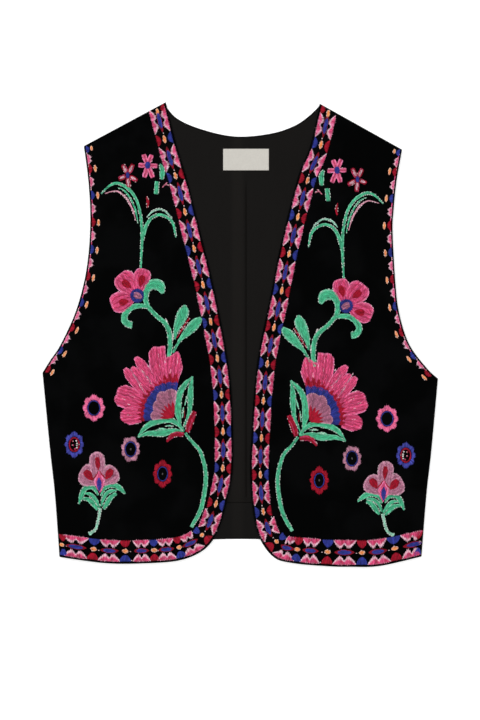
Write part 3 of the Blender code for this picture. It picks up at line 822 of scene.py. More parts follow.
def label_top(points):
    x = points[:, 0]
    ends = np.minimum(x - LABEL_LOW.x / MM, LABEL_HIGH.x / MM - x)
    rise = ease(ends / LABEL_STEP) * (1 - ease((ends - FOLD_WIDTH) / LABEL_STEP))
    return LABEL_HIGH.z / MM + LABEL_FOLD * rise


label = panel("label_woven", label_outline(), LABEL_GRID, label_top,
              lambda points: lining_top(points) - 0.05, label_finish())

# %% [markdown]
# All the colour of this vest is thread. The floss is laid in long, close strands, with tone
# changes from strand to strand and small pale ends at the rims, partly painted highlight where
# the fibres catch the light. Each strand's colour is an attribute of the mesh, so one finish
# serves every colour. Two more attributes run along and around a strand, and draw its twist, in
# relief and as painted shade in the grooves between its plies.

# %% Thread
TWISTS = 3.0
PLY_DEPTH = 0.00008
FLOSS_FIBRE = 2600.0


def thread_finish():
    finish = Finish("floss", Specular_IOR_Level=0.12, Sheen_Weight=0.03, Sheen_Roughness=0.35)
    tint = finish.node("ShaderNodeAttribute", {"attribute_name": "tint"}, output="Color")
    along = finish.node("ShaderNodeAttribute", {"attribute_name": "along"}, output="Fac")
    around = finish.node("ShaderNodeAttribute", {"attribute_name": "around"}, output="Fac")
    ply = ((along * TWISTS + around * 2) * (2 * math.pi)).sine() * 0.5 + 0.5
    fibre = finish.noise(finish.place(), FLOSS_FIBRE, 1.0)
    # Painted shade: the tint darkened in the grooves between the plies.
    painted_groove_shade = finish.node("ShaderNodeVectorMath", {"operation": "SCALE"},
                       {"Vector": tint, "Scale": 0.6})
    finish.bump(ply + 0.5 * fibre, PLY_DEPTH, 0.4)
    return finish.surface(Base_Color=finish.mix(0.35 + 0.65 * ply, painted_groove_shade, tint),
                          Roughness=0.46 + 0.2 * fibre)


FLOSS = thread_finish()
print("finish:", FLOSS.name)

# %% [markdown]
# Thousands of strands are one short spindle, repeated. A Geometry Nodes tree makes it from a
# line and a circle: the line is bent so that both ends dive into the cloth, and the tube is
# thinner at its ends. The tree puts a copy on each point of a cloud, turns and stretches it by
# the point's own attributes, joins the copies to the pad beneath and makes them real. Then it
# drops the two attributes that have done their work.

# %% The strand tree
STRAND_SIDES = 4
STRAND_STEPS = 4
STRAND_ARCH = 0.55
STRAND_TAPER = 0.75


class Nodes:
    """A Geometry Nodes tree whose inputs are named when they are first used."""

    def __init__(self, name):
        self.tree = bpy.data.node_groups.new(name, "GeometryNodeTree")
        self.tree.interface.new_socket("Geometry", in_out="OUTPUT",
                                       socket_type="NodeSocketGeometry")
        self.entry = self.tree.nodes.new("NodeGroupInput")
        self.exit = self.tree.nodes.new("NodeGroupOutput")
        self.identifiers = {}

    def given(self, name, kind):
        socket = self.tree.interface.new_socket(name, in_out="INPUT", socket_type=kind)
        self.identifiers[name] = socket.identifier
        return self.entry.outputs[name]

    def add(self, kind, inputs=None, output=0, **settings):
        made = self.tree.nodes.new(kind)
        for key, value in settings.items():
            setattr(made, key, value)
        for key, value in (inputs or {}).items():
            if isinstance(value, bpy.types.NodeSocket):
                self.tree.links.new(value, made.inputs[key])
            else:
                made.inputs[key].default_value = value
        return made.outputs[output]

    def maths(self, operation, a, b=0.0):
        return self.add("ShaderNodeMath", {0: a, 1: b}, operation=operation)


# %% [markdown]
# The spindle is one unit long, wide and high, so that the size attribute of a point is its
# strand's real size. The bend is a parabola. The taper grows with the fourth power, so that only
# the ends are thin.

# %% The spindle


def strand_mesh(nodes, sides, steps, arch):
    """A bent spindle one unit long, wide and high, with its attributes."""
    line = nodes.add("GeometryNodeCurvePrimitiveLine",
                     {"Start": (-0.5, 0, 0), "End": (0.5, 0, 0)})
    line = nodes.add("GeometryNodeResampleCurve", {"Curve": line, "Count": steps})
    share = nodes.add("GeometryNodeSplineParameter")
    line = nodes.add("GeometryNodeStoreNamedAttribute",
                     {"Geometry": line, "Name": "along", "Value": share})
    across = nodes.maths("MULTIPLY", nodes.maths("SUBTRACT", share, 0.5), 2.0)
    square = nodes.maths("MULTIPLY", across, across)
    dip = nodes.add("ShaderNodeCombineXYZ", {"Z": nodes.maths("MULTIPLY", square, arch)})
    dip = nodes.add("ShaderNodeVectorMath", {0: (0, 0, 0), 1: dip}, operation="SUBTRACT")
    line = nodes.add("GeometryNodeSetPosition", {"Geometry": line, "Offset": dip})
    thin = nodes.maths("MULTIPLY", nodes.maths("MULTIPLY", square, square), STRAND_TAPER)
    ring = nodes.add("GeometryNodeCurvePrimitiveCircle", {"Resolution": sides, "Radius": 0.5})
    ring = nodes.add("GeometryNodeStoreNamedAttribute",
                     {"Geometry": ring, "Name": "around",
                      "Value": nodes.add("GeometryNodeSplineParameter")})
    tube = nodes.add("GeometryNodeCurveToMesh",
                     {"Curve": line, "Profile Curve": ring, "Fill Caps": True,
                      "Scale": nodes.maths("SUBTRACT", 1.0, thin)})
    return nodes.add("GeometryNodeSetShadeSmooth", {"Geometry": tube})


# %% [markdown]
# The tree's inputs have names: the cloud of points, the pad beneath, the spindle's sides, steps
# and arch, and the finish. So every piece of thread uses the same tree with its own pad.

# %% Spindles on points


def strand_tree():
    nodes = Nodes("strands_on_points")
    cloud = nodes.given("Cloud", "NodeSocketGeometry")
    pad = nodes.given("Pad", "NodeSocketObject")
    sides = nodes.given("Sides", "NodeSocketInt")
    steps = nodes.given("Steps", "NodeSocketInt")
    arch = nodes.given("Arch", "NodeSocketFloat")
    finish = nodes.given("Finish", "NodeSocketMaterial")
    turn = nodes.add("GeometryNodeInputNamedAttribute", {"Name": "turn"},
                     data_type="FLOAT_VECTOR")
    size = nodes.add("GeometryNodeInputNamedAttribute", {"Name": "size"},
                     data_type="FLOAT_VECTOR")
    copies = nodes.add("GeometryNodeInstanceOnPoints",
                       {"Points": cloud, "Instance": strand_mesh(nodes, sides, steps, arch),
                        "Rotation": nodes.add("FunctionNodeEulerToRotation", {"Euler": turn}),
                        "Scale": size})
    padding = nodes.add("GeometryNodeObjectInfo", {"Object": pad}, "Geometry")
    joined = nodes.add("GeometryNodeJoinGeometry", {"Geometry": copies})
    nodes.tree.links.new(padding, joined.node.inputs["Geometry"])
    real = nodes.add("GeometryNodeRealizeInstances", {"Geometry": joined})
    for spent in ("turn", "size"):
        real = nodes.add("GeometryNodeRemoveAttribute", {"Geometry": real, "Name": spent})
    done = nodes.add("GeometryNodeSetMaterial", {"Geometry": real, "Material": finish})
    nodes.tree.links.new(done, nodes.exit.inputs["Geometry"])
    return nodes


STRANDS = strand_tree()
print("strand tree's inputs:", list(STRANDS.identifiers))

# %% [markdown]
# The thread's colours are those of the photograph's well-lit thread, as 0 to 255. An attribute
# holds linear light, as a colour socket does, so they are turned into it here.

# %% Thread colours
def thread_colour(red, green, blue):
    """A screen colour of 0 to 255, as linear light."""
    share = np.array([red, green, blue]) / 255
    return np.where(share <= 0.04045, share / 12.92, ((share + 0.055) / 1.055) ** 2.4)


PINK = thread_colour(226, 84, 134)
ROSE = thread_colour(196, 60, 100)
BRIGHT_PINK = thread_colour(250, 132, 176)
PALE_PINK = thread_colour(240, 190, 205)
MAUVE = thread_colour(180, 112, 140)
PALE_MAUVE = thread_colour(212, 156, 178)
CRIMSON = thread_colour(164, 14, 42)
BLUE = thread_colour(48, 58, 148)
BRIGHT_BLUE = thread_colour(72, 76, 170)
MINT = thread_colour(79, 195, 148)
PALE_MINT = thread_colour(176, 232, 208)
PEACH = thread_colour(255, 152, 84)
PALE_PEACH = thread_colour(248, 176, 144)
PALE_FLECK = thread_colour(236, 226, 226)
print("pink thread in linear light:", PINK.round(3))

# %% [markdown]
# An area of thread is described by one place function: s runs with the strands and t runs
# across them, both from 0 to 1, and it gives a point of the cloth. So one description serves a
# leaf between two rails, a stem along a curve and a ring round a centre. A smooth curve through
# a few values sets a strip's width along its length.

# %% Areas of thread
STRIP_STEP = 2.0
THINNEST = 0.3


def between(rail_a, rail_b):
    """The place function of the area between two rails of the same number of points."""
    share = np.linspace(0, 1, len(rail_a))

    def place(s, t):
        ends = [np.interp(s, share, rail[:, axis]) for rail in (rail_a, rail_b)
                for axis in (0, 1)]
        return ends[0] + (ends[2] - ends[0]) * t, ends[1] + (ends[3] - ends[1]) * t

    return place


def profile(values, share):
    """A smooth function of a share, through values at even steps."""
    padded = np.array([values[0], *values, values[-1]], float)
    at = np.clip(share, 0, 1) * (len(values) - 1)
    step = np.clip(np.floor(at).astype(int), 0, len(values) - 2)
    p, q, r, s = (padded[step + i] for i in range(4))
    return spline(p, q, r, s, at - step)


def strip(spots, widths):
    """Strands that run along a curve, between its two sides."""
    run = smooth_run(spots, STRIP_STEP)
    half = np.clip(profile(widths, np.linspace(0, 1, len(run))), THINNEST, None) / 2
    side = normals(run) * half[:, None]
    return between(run + side, run - side)


def crossed(place):
    """The same area with its strands laid across instead of along."""
    return lambda s, t: place(t, s)


def fan(inner, outer, start, end):
    """Strands that run outwards between two radius functions of the turn's share."""

    def place(s, t):
        angle = np.radians(start + (end - start) * t)
        radius = inner(t) + (outer(t) - inner(t)) * s
        return radius * np.cos(angle), radius * np.sin(angle)

    return place


print("middle of a 10 mm strip:", np.round(strip(((0, 0), (10, 0)), (4, 4))(0.5, 0.5), 3))

# %% [markdown]
# Satin stitch is raised: a needleworker pads the area and lays rows of strands over the pad. So
# each area gets a low mound, and strands staggered like bricks, which dive with the mound at its
# rims. A share of the rim's strands are short and pale and lie just outside, as frayed ends do,
# and their paleness is partly a painted highlight where the fibres catch the light. Each strand
# has its own tone, length and place, from a random generator with a fixed seed.

# %% Mounds and strands
PITCH = 1.1
STITCH = 3.8
ROW_SHARE = 0.8
ROW_OVERLAP = 1.12
SHORTEST = 1.1
MOUND = 0.95
SHOULDER = 1.5
FLOSS_WIDTH = 1.15
FLOSS_HEIGHT = 0.75
FLOSS_LIFT = 0.12
SIDE_SLIP = 0.2
ROW_SLIP = 0.12
LENGTH_RANGE = (0.9, 1.12)
RAGGED_RANGE = (0.1, 1.0)
WIDTH_RANGE = (0.85, 1.15)
LEAST_REACH = 0.5
BEND_SHARE = 0.8
BEND_MOST = 1.2
TONE_SPREAD = 0.2
TONE_WAVE = 0.1
TONE_WAVES = 17.0
FLECK_SHARE = 0.42
FLECK_BLEND = 0.65
FLECK_LENGTH = 0.6
FRINGE = 0.45
# Painted shade: how much darker a mound is than its strands, for the gaps between them.
PAD_PAINTED_SHADE = 0.62
PAD_ROW = 3.0
PAD_ROWS = (3, 40)
PAD_COLUMN = 2.2
PAD_COLUMNS = (3, 64)
SAMPLE_S = np.linspace(0, 1, 25)
SAMPLE_T = np.linspace(0, 1, 13)


def shoulder(distance):
    """The round rise of a mound from its rim."""
    inward = np.clip(distance / SHOULDER, 0, 1)
    return np.sqrt(np.clip(1 - (1 - inward) ** 2, 0, 1))


class Work:
    """Everything sewn for one node: mounds and strands, in the cloth's own millimetres."""

    def __init__(self, name, front, origin=None):
        self.name = name
        self.front = front
        self.origin = origin or (0.0, 0.0)
        self.sign = front.sign if origin else 1
        self.random = np.random.default_rng(sum(map(ord, name)))
        self.mounds = []
        self.strands = []

    def to_cloth(self, x, y):
        return self.origin[0] + self.sign * x, self.origin[1] + y

    def fill(self, place, tint, mound=MOUND, pitch=PITCH, stitch=STITCH, closed=False,
             flecks=FLECK_SHARE, base=0.0, ragged=0.45):
        """Covers an area. tint is a colour or a function of s and t, base lifts it all."""
        s, t = np.meshgrid(SAMPLE_S, SAMPLE_T, indexing="ij")
        x, y = place(s, t)
        widths = np.hypot(np.diff(x, axis=1), np.diff(y, axis=1)).sum(axis=1)
        length = np.hypot(np.diff(x, axis=0), np.diff(y, axis=0)).sum(axis=0).mean()

        def height(s, t):
            wide = np.interp(s, SAMPLE_S, widths)
            rise = shoulder(np.minimum(s, 1 - s) * length)
            if not closed:
                rise = rise * shoulder(np.minimum(t, 1 - t) * wide)
            return base + mound * rise

        colour = tint if callable(tint) else lambda s, t: np.tile(tint, (len(s), 1))
        self.add_mound(place, colour, height, length, widths.max(), closed)
        self.add_strands(place, colour, height, length, widths, pitch, stitch, flecks, ragged)

    def add_mound(self, place, colour, height, length, width, closed):
        rows = int(np.clip(round(length / PAD_ROW), *PAD_ROWS))
        columns = int(np.clip(round(width / PAD_COLUMN), *PAD_COLUMNS))
        s = (1 - np.cos(math.pi * np.arange(rows + 1) / rows)) / 2
        t = np.arange(columns + 1) / columns
        if not closed:
            t = (1 - np.cos(math.pi * t)) / 2
        s, t = (grid.ravel() for grid in np.meshgrid(s, t, indexing="ij"))
        x, y = self.to_cloth(*place(s, t))
        # The mound is painted darker than its strands: painted shade in the gaps between them.
        self.mounds.append((x, y, height(s, t), colour(s, t) * PAD_PAINTED_SHADE, rows, columns))

    def add_strands(self, place, colour, height, length, widths, pitch, stitch, flecks, ragged):
        random = self.random
        rows = max(1, round(length / (ROW_SHARE * stitch)))
        for row in range(rows):
            middle = (row + 0.5) / rows
            count = max(1, round(np.interp(middle, SAMPLE_S, widths) / pitch))
            column = np.arange(count)
            t = (column + 0.5 + random.uniform(-SIDE_SLIP, SIDE_SLIP, count)) / count
            stagger = 0.5 * (column % 2) - 0.25 if rows > 1 else 0.0
            slip = random.uniform(-ROW_SLIP, ROW_SLIP, count)
            centre = (row + 0.5 + stagger + slip) / rows
            half = 0.5 * max(stitch, length / rows * ROW_OVERLAP) / length
            half = half * random.uniform(*LENGTH_RANGE, count)
            over = ragged / length * random.uniform(*RAGGED_RANGE, count)
            start = np.clip(centre - half, -over, 1 + over)
            end = np.clip(centre + half, -over, 1 + over)
            kept = (end - start) * length > SHORTEST
            if kept.any():
                self.add_row(place, colour, height, start[kept], end[kept], t[kept], count,
                             column[kept], flecks)

    def add_row(self, place, colour, height, start, end, t, count, column, flecks):
        random = self.random
        rim = (column == 0) | (column == count - 1)
        pale = rim & (random.random(len(t)) < flecks)
        t = t + pale * np.where(column == 0, -FRINGE, FRINGE) / count
        x0, y0 = self.to_cloth(*place(start, t))
        x1, y1 = self.to_cloth(*place(end, t))
        middle = (start + end) / 2
        low, high = height(np.clip(start, 0, 1), t), height(np.clip(end, 0, 1), t)
        top = height(middle, t)
        reach = np.hypot(x1 - x0, y1 - y0)
        tone = 1 + TONE_SPREAD * random.standard_normal(len(t))
        tone *= 1 + TONE_WAVE * np.sin(t * TONE_WAVES + self.origin[0])
        tint = colour(middle, t) * tone[:, None]
        # Pale rim flecks: frayed ends, whose paleness is partly painted highlight.
        tint[pale] = (1 - FLECK_BLEND) * tint[pale] + FLECK_BLEND * PALE_FLECK
        width = FLOSS_WIDTH * random.uniform(*WIDTH_RANGE, len(t))
        thick = FLOSS_HEIGHT + BEND_SHARE * np.clip(top - (low + high) / 2, 0, BEND_MOST)
        long = reach * np.where(pale, FLECK_LENGTH, 1.0)
        dive = -np.arctan2(high - low, np.maximum(reach, LEAST_REACH))
        heading = np.arctan2(y1 - y0, x1 - x0)
        self.strands.append(np.column_stack([
            (x0 + x1) / 2, (y0 + y1) / 2, top + FLOSS_LIFT, np.zeros(len(t)), dive, heading,
            long, width, thick, tint]))


print("a strand is about", STITCH, "mm long and", FLOSS_WIDTH, "mm wide")

# %% [markdown]
# A mound becomes a closed shell: its grid twice, once raised and once a little under the
# velvet's surface, with a wall round the rim. A ray cast from above finds the velvet under each
# point, so the work follows the crown and the creases of the cloth that it is sewn on.

# %% Pads
OFF_THE_EDGE = 0.6
PAD_SINK = 0.12
PAD_DEPTH = 0.45


def grounded(front, x, y):
    """The velvet's height under each point, in millimetres."""
    heights = []
    for a, b in zip(x, y):
        spot = front.ground.ray_cast(Vector((a * MM, b * MM, 1.0)), Vector((0, 0, -1)))[0]
        heights.append(spot.z / MM if spot else front.floor + FRONT_WALL - OFF_THE_EDGE)
    return np.array(heights)


def tint_points(mesh, tints):
    attribute = mesh.attributes.new("tint", "FLOAT_COLOR", "POINT")
    full = np.column_stack([np.clip(tints, 0, 1), np.ones(len(tints))])
    attribute.data.foreach_set("color", full.astype(np.float32).ravel())


def grid_rim(rows, columns):
    """The outer points of a grid, in order."""
    wide = columns + 1
    return ([j for j in range(columns)] + [i * wide + columns for i in range(rows)]
            + [rows * wide + j for j in range(columns, 0, -1)]
            + [i * wide for i in range(rows, 0, -1)])


def turns_left(x, y, wide):
    """Whether a grid's rows and columns turn anticlockwise in the middle."""
    a = len(x) // wide // 2 * wide + wide // 2
    first, last = (a, a + wide) if a + wide < len(x) else (a - wide, a)
    along = (x[last] - x[first], y[last] - y[first])
    across = (x[a + 1] - x[a], y[a + 1] - y[a])
    return along[0] * across[1] - along[1] * across[0] > 0


def pad_mesh(work):
    """All mounds of one node, as closed shells in one mesh."""
    places, faces, tints = [], [], []
    first = 0
    for x, y, rise, tint, rows, columns in work.mounds:
        ground = grounded(work.front, x, y)
        wide = columns + 1
        count = len(x)
        places.append(np.column_stack([x, y, ground - PAD_SINK + rise]))
        places.append(np.column_stack([x, y, ground - PAD_DEPTH]))
        tints.append(np.vstack([tint, tint]))
        left_turn = turns_left(x, y, wide)
        for i in range(rows):
            for j in range(columns):
                a = i * wide + j
                face = (a, a + wide, a + wide + 1, a + 1)
                top = tuple(first + k for k in (face if left_turn else face[::-1]))
                bottom = tuple(k + count for k in top[::-1])
                faces += [top, bottom]
        rim = grid_rim(rows, columns)
        for a, b in zip(rim, rim[1:] + rim[:1]):
            wall = (first + a, first + b, first + b + count, first + a + count)
            faces.append(wall if left_turn else wall[::-1])
        first += 2 * count
    mesh = bpy.data.meshes.new(work.name + "_pad")
    mesh.from_pydata((np.vstack(places) * MM).tolist(), [], faces)
    mesh.shade_smooth()
    tint_points(mesh, np.vstack(tints))
    return linked(work.name + "_pad", mesh)


print("a pad's grid is about", PAD_ROW, "by", PAD_COLUMN, "mm")

# %% [markdown]
# At first the strands are only points, each with a turn, a size and a tint. The strand tree
# makes them thread. new_from_object then keeps the result as one plain mesh for the node, and
# the modifier and the two helpers go.

# %% From points to thread
def cloud_mesh(work):
    """One point a strand, with its turn, size and tint."""
    rows = np.vstack(work.strands)
    rows[:, 2] += grounded(work.front, rows[:, 0], rows[:, 1])
    mesh = bpy.data.meshes.new(work.name + "_cloud")
    mesh.from_pydata((rows[:, :3] * MM).tolist(), [], [])
    for name, values in (("turn", rows[:, 3:6]), ("size", rows[:, 6:9] * MM)):
        attribute = mesh.attributes.new(name, "FLOAT_VECTOR", "POINT")
        attribute.data.foreach_set("vector", values.astype(np.float32).ravel())
    tint_points(mesh, rows[:, 9:12])
    return linked(work.name + "_cloud", mesh)


def stitched(work):
    """Runs the strand tree on a node's work and leaves one plain mesh."""
    pad, cloud = pad_mesh(work), cloud_mesh(work)
    modifier = cloud.modifiers.new("strands", "NODES")
    modifier.node_group = STRANDS.tree
    wanted = {"Pad": pad, "Sides": STRAND_SIDES, "Steps": STRAND_STEPS,
              "Arch": STRAND_ARCH, "Finish": FLOSS}
    for name, value in wanted.items():
        modifier[STRANDS.identifiers[name]] = value
    bpy.context.view_layer.update()
    evaluated = cloud.evaluated_get(bpy.context.evaluated_depsgraph_get())
    mesh = bpy.data.meshes.new_from_object(evaluated)
    mesh.name = work.name
    piece = linked(work.name, mesh)
    cloud.modifiers.remove(modifier)
    for helper in (cloud, pad):
        bpy.data.objects.remove(helper, do_unlink=True)
    faces = sum(len(p.vertices) - 2 for p in mesh.polygons)
    print(work.name, "strands:", sum(map(len, work.strands)), "triangles:", faces)
    return piece


# %% [markdown]
# Hand-dyed floss isn't one flat colour, and the rims of a satin-stitched shape catch more light.
# Two helpers turn a colour into a tint function: one paints another colour at its sides and its
# far end, a painted highlight where the rims catch the light, the other streaks that run with
# the strands. A third fills a table of strips.

# %% Tints
def rimmed(tint, rim, across=0.1, end=0.12):
    """The same tint with another colour at its sides and its far end."""

    def value(s, t):
        inner = tint(s, t) if callable(tint) else np.tile(tint, (len(s), 1))
        side = 1 - ease(np.minimum(t, 1 - t) / across - 0.5)
        tip = ease((s - 1 + end) / end * 2 - 0.3)
        # Painted highlight: the rim colour blended in at the sides and the far end.
        blend = np.maximum(side, tip)[:, None]
        return inner * (1 - blend) + rim * blend

    return value


def streaked(colour, other, waves, share, lean=0.0):
    """A colour with streaks of another that run with the strands."""

    def tint(s, t):
        wave = np.sin(2 * math.pi * (waves * t + lean * s) + waves)
        blend = ease((wave - (1 - 2 * share)) / 0.5)[:, None]
        return colour * (1 - blend) + other * blend

    return tint


MINT_STREAKS = rimmed(streaked(MINT, MINT * 0.78, 3.3, 0.35, 0.6), MINT * 0.6 + PALE_MINT * 0.4,
                      0.16, 0.06)
MAUVE_STREAKS = streaked(MAUVE, 0.5 * MAUVE + 0.5 * PALE_MAUVE, 5.6, 0.5, 0.4)
CRIMSON_STREAKS = streaked(CRIMSON, ROSE, 1.5, 0.3)


def sew_strips(work, strips, tint, **how):
    """Fills one strip for each pair of spots and widths, all in one tint."""
    for spots, widths in strips:
        work.fill(strip(spots, widths), tint, **how)


print("mint at a leaf's middle:", MINT_STREAKS(np.array([0.5]), np.array([0.5])).round(3))

# %% [markdown]
# The motifs are ordinary folk flowers. Each is drawn once, for the left front, from petals,
# leaves and stems with a direction, a length and a few widths. Those few numbers follow the
# photograph, in millimetres, and smooth curves do the rest. The right front has the mirror
# image, with a few lengths of its own, since no two sides are sewn quite alike.

# %% Where the motifs go
Place = namedtuple("Place", "motif left_x left_y right_x right_y")
PLACES = (
    Place("bloom", -80.0, -100.2, 83.6, -105.0),
    Place("calyx", -68.1, -114.6, 71.7, -119.4),
    Place("rosette", -123.9, 46.8, 127.4, 34.4),
    Place("grass", -119.6, 81.6, 124.3, 69.8),
    Place("star_a", -111.2, 203.4, 116.3, 197.4),
    Place("star_b", -135.1, 191.4, 140.8, 186.4),
    Place("small_leaf_a", -95.6, 196.0, 99.4, 188.8),
    Place("small_leaf_b", -101.1, 176.4, 105.7, 168.0),
    Place("ring_pink", -175.9, -88.2, 176.5, -101.2),
    Place("ring_blue", -199.5, -132.2, 198.9, -145.2),
    Place("ring_mauve", -131.7, -137.8, 134.3, -148.9),
    Place("ring_red", -93.3, -167.4, 94.9, -175.2),
    Place("tulip", -169.1, -179.4, 172.0, -190.6),
)


def origin_of(motif, front):
    place = next(place for place in PLACES if place.motif == motif)
    if front.sign > 0:
        return place.left_x, place.left_y
    return place.right_x, place.right_y


def polar(turn, radius):
    return radius * math.cos(math.radians(turn)), radius * math.sin(math.radians(turn))


def even(value):
    """The same radius all round."""
    return lambda t: np.full(np.shape(t), float(value))


def blunt(place, amount):
    """The same area with the corners of its far end rounded off."""
    return lambda s, t: place(s * (1 - amount * np.abs(2 * t - 1) ** 3), t)


print("motifs:", [place.motif for place in PLACES])

# %% [markdown]
# The big bloom is a fan of satin petals, broad ones at its sides and three narrow ones between
# them. They start under the heart, so that no velvet shows between. A few shares of a petal's
# length, from side to side, shape its blunt far end. Thin raised lines part the petals; their
# mauve and pale colours are painted highlight streaks. On the right front the petals are a
# little shorter and some turn further.

# %% Bloom petals
BloomPetal = namedtuple("BloomPetal", "root middle tip length root_width width ends trim swing")
BLOOM_PETALS = (
    BloomPetal(93.0, 91.0, 88.2, 80.5, 15, 23.0, (0.74, 0.82, 0.9, 1.0, 0.86, 0.6), 2.0, 0.0),
    BloomPetal(107.5, 107.0, 103.0, 88.6, 14, 20.4, (0.86, 0.97, 0.99, 0.98, 1.0, 1.0), 3.2, 0.0),
    BloomPetal(119.0, 120.4, 121.6, 86.5, 10, 11.4, (0.84, 0.97, 1.0, 0.99, 0.93, 0.8), 5.2, 1.4),
    BloomPetal(129.0, 129.4, 129.0, 79.5, 9, 10.6, (0.86, 0.97, 1.0, 0.94, 0.82), 3.6, 1.2),
    BloomPetal(141.0, 137.8, 134.8, 84.0, 11, 10.6, (0.8, 0.96, 1.0, 0.98, 0.86), 6.0, 1.2),
    BloomPetal(156.0, 156.0, 156.8, 75.6, 20, 27.0,
               (0.82, 0.95, 0.99, 0.96, 0.98, 0.99, 0.93, 0.8), 2.0, 1.6),
    BloomPetal(177.0, 177.0, 178.0, 64.4, 18, 21.6, (0.6, 0.86, 0.97, 1.0, 0.97, 0.86, 0.62),
               1.0, 5.0),
)
PETAL_ROOT = 38.0
HighlightLine = namedtuple("HighlightLine", "root tip start end width tint")
BLOOM_HIGHLIGHT_LINES = (
    HighlightLine(121.4, 124.0, 43, 72, 2.6, "MAUVE"), HighlightLine(139.5, 131.4, 44, 79, 2.4, "MAUVE"),
    HighlightLine(122.6, 123.2, 56, 60, 1.5, "PALE"), HighlightLine(123.4, 123.8, 66, 70, 1.4, "PALE"),
    HighlightLine(137.0, 134.6, 54, 62, 1.4, "PALE"), HighlightLine(133.8, 132.6, 66, 73, 1.4, "PALE"),
    HighlightLine(98.4, 98.8, 66.5, 70, 2.0, "PALE"), HighlightLine(115.8, 116.2, 67.5, 71, 2.0, "PALE"),
    HighlightLine(163.2, 163.0, 54.5, 58, 2.0, "PALE"), HighlightLine(95.0, 93.4, 50, 60, 1.6, "SOFT"),
    HighlightLine(85.6, 86.2, 64, 74, 1.5, "SOFT"), HighlightLine(103.6, 102.8, 74, 80.5, 1.5, "SOFT"),
    HighlightLine(105.0, 104.4, 62, 67, 1.3, "SOFT"), HighlightLine(159.2, 158.8, 61, 68, 1.4, "SOFT"),
    HighlightLine(152.0, 151.4, 52, 62, 1.2, "SOFT"), HighlightLine(176.4, 176.0, 50, 57, 1.4, "SOFT"),
)


def cut_to(place, ends):
    """The same area with its far end shaped by shares of its length, from side to side."""
    return lambda s, t: place(s * profile(ends, t), t)


def sew_bloom_petals(work):
    mirrored = work.front.sign < 0
    for index, petal in enumerate(BLOOM_PETALS):
        length = petal.length - petal.trim * mirrored
        swing = petal.swing * mirrored
        spine = (polar(petal.root + 0.4 * swing, PETAL_ROOT),
                 polar(petal.middle + 0.7 * swing, (PETAL_ROOT + length) / 2),
                 polar(petal.tip + swing, length))
        root, full = petal.root_width, petal.width
        widths = (0.8 * root, root, (root + full) / 2, full, full, full, 0.92 * full)
        tint = streaked(PINK, ROSE, 5.3 + 0.7 * (index % 3), 0.46, 0.5)
        work.fill(cut_to(strip(spine, widths), petal.ends), rimmed(tint, BRIGHT_PINK, 0.05, 0.05),
                  ragged=2.0, flecks=0.25)
    # Painted highlight streaks: the raised lines' mauve and pale colours.
    tints = {"MAUVE": MAUVE, "PALE": PALE_PINK, "SOFT": 0.5 * PALE_PINK + 0.5 * PINK}
    for highlight_line in BLOOM_HIGHLIGHT_LINES:
        line = strip((polar(highlight_line.root, highlight_line.start), polar(highlight_line.tip, highlight_line.end)),
                     (0.5, highlight_line.width, highlight_line.width, 0.5))
        work.fill(line, tints[highlight_line.tint], mound=0.3, base=0.85, flecks=0.4)


print("bloom petals:", len(BLOOM_PETALS), "lines between them:", len(BLOOM_HIGHLIGHT_LINES))

# %% [markdown]
# The heart has four layers, each a ring of strands that point outwards: crimson flames, blue,
# mauve and a crimson core with flames of its own. A ring's radius is a few values along its
# turn, because each ring shrinks towards the lower end in its own way.

# %% Bloom heart
HEART_START = 83.0
HEART_END = 186.0
CRIMSON_RADII = (48.5, 47.5, 42.0, 41.4, 41.2, 39.6, 37.6)
BLUE_RADII = (41.4, 42.0, 42.0, 39.4, 37.2, 35.4, 34.4)
MAUVE_RADII = (33.6, 34.2, 34.8, 31.0, 27.6, 26.8, 26.8)


def flames(t, count, depth):
    """A row of points that rise from 0 to depth."""
    return depth * (1 - np.abs(2 * ((count * t) % 1.0) - 1))


def sew_bloom_heart(work):
    def crimson(t):
        return profile(CRIMSON_RADII, t) + flames(t, 13, 9.0 - 2.4 * t) - 0.8

    def blue(t):
        return profile(BLUE_RADII, t) + flames(t + 0.03, 9, 1.8)

    def mauve(t):
        return profile(MAUVE_RADII, t) - 1.4 + 3.0 * np.abs(np.sin(4 * math.pi * t)) ** 0.7

    def core(t):
        return 13.0 - 2.0 * t + flames(t, 6, 8.4 - 3.0 * t)

    work.fill(fan(lambda t: blue(t) - 0.4, crimson, HEART_START, HEART_END), CRIMSON, base=0.8,
              mound=0.6, flecks=0, ragged=0.8)
    work.fill(fan(lambda t: mauve(t) - 0.8, lambda t: blue(t) + 0.8, HEART_START, HEART_END),
              streaked(BLUE, BLUE * 0.7, 9, 0.4), mound=0.65, base=0.85, flecks=0, ragged=0.8)
    work.fill(fan(even(7.0), lambda t: mauve(t) - 0.3, HEART_START, HEART_END),
              rimmed(streaked(MAUVE, MAUVE * 0.75, 7, 0.5), PALE_MAUVE, 0.04, 0.07), mound=0.7,
              base=0.9, flecks=0, stitch=2.0)
    work.fill(fan(even(1.2), core, HEART_START + 2, HEART_END), CRIMSON, base=1.2,
              mound=0.6, flecks=0)


print("the heart opens through", HEART_END - HEART_START, "degrees")

# %% [markdown]
# Two broad leaves cup the bloom. Each has a dark slit of bare velvet down its middle, so it is
# sewn as two halves that meet at both ends, with a few raised dashes in the slit, painted pale as
# highlights. Two crimson sepals and the long curved stem finish it.

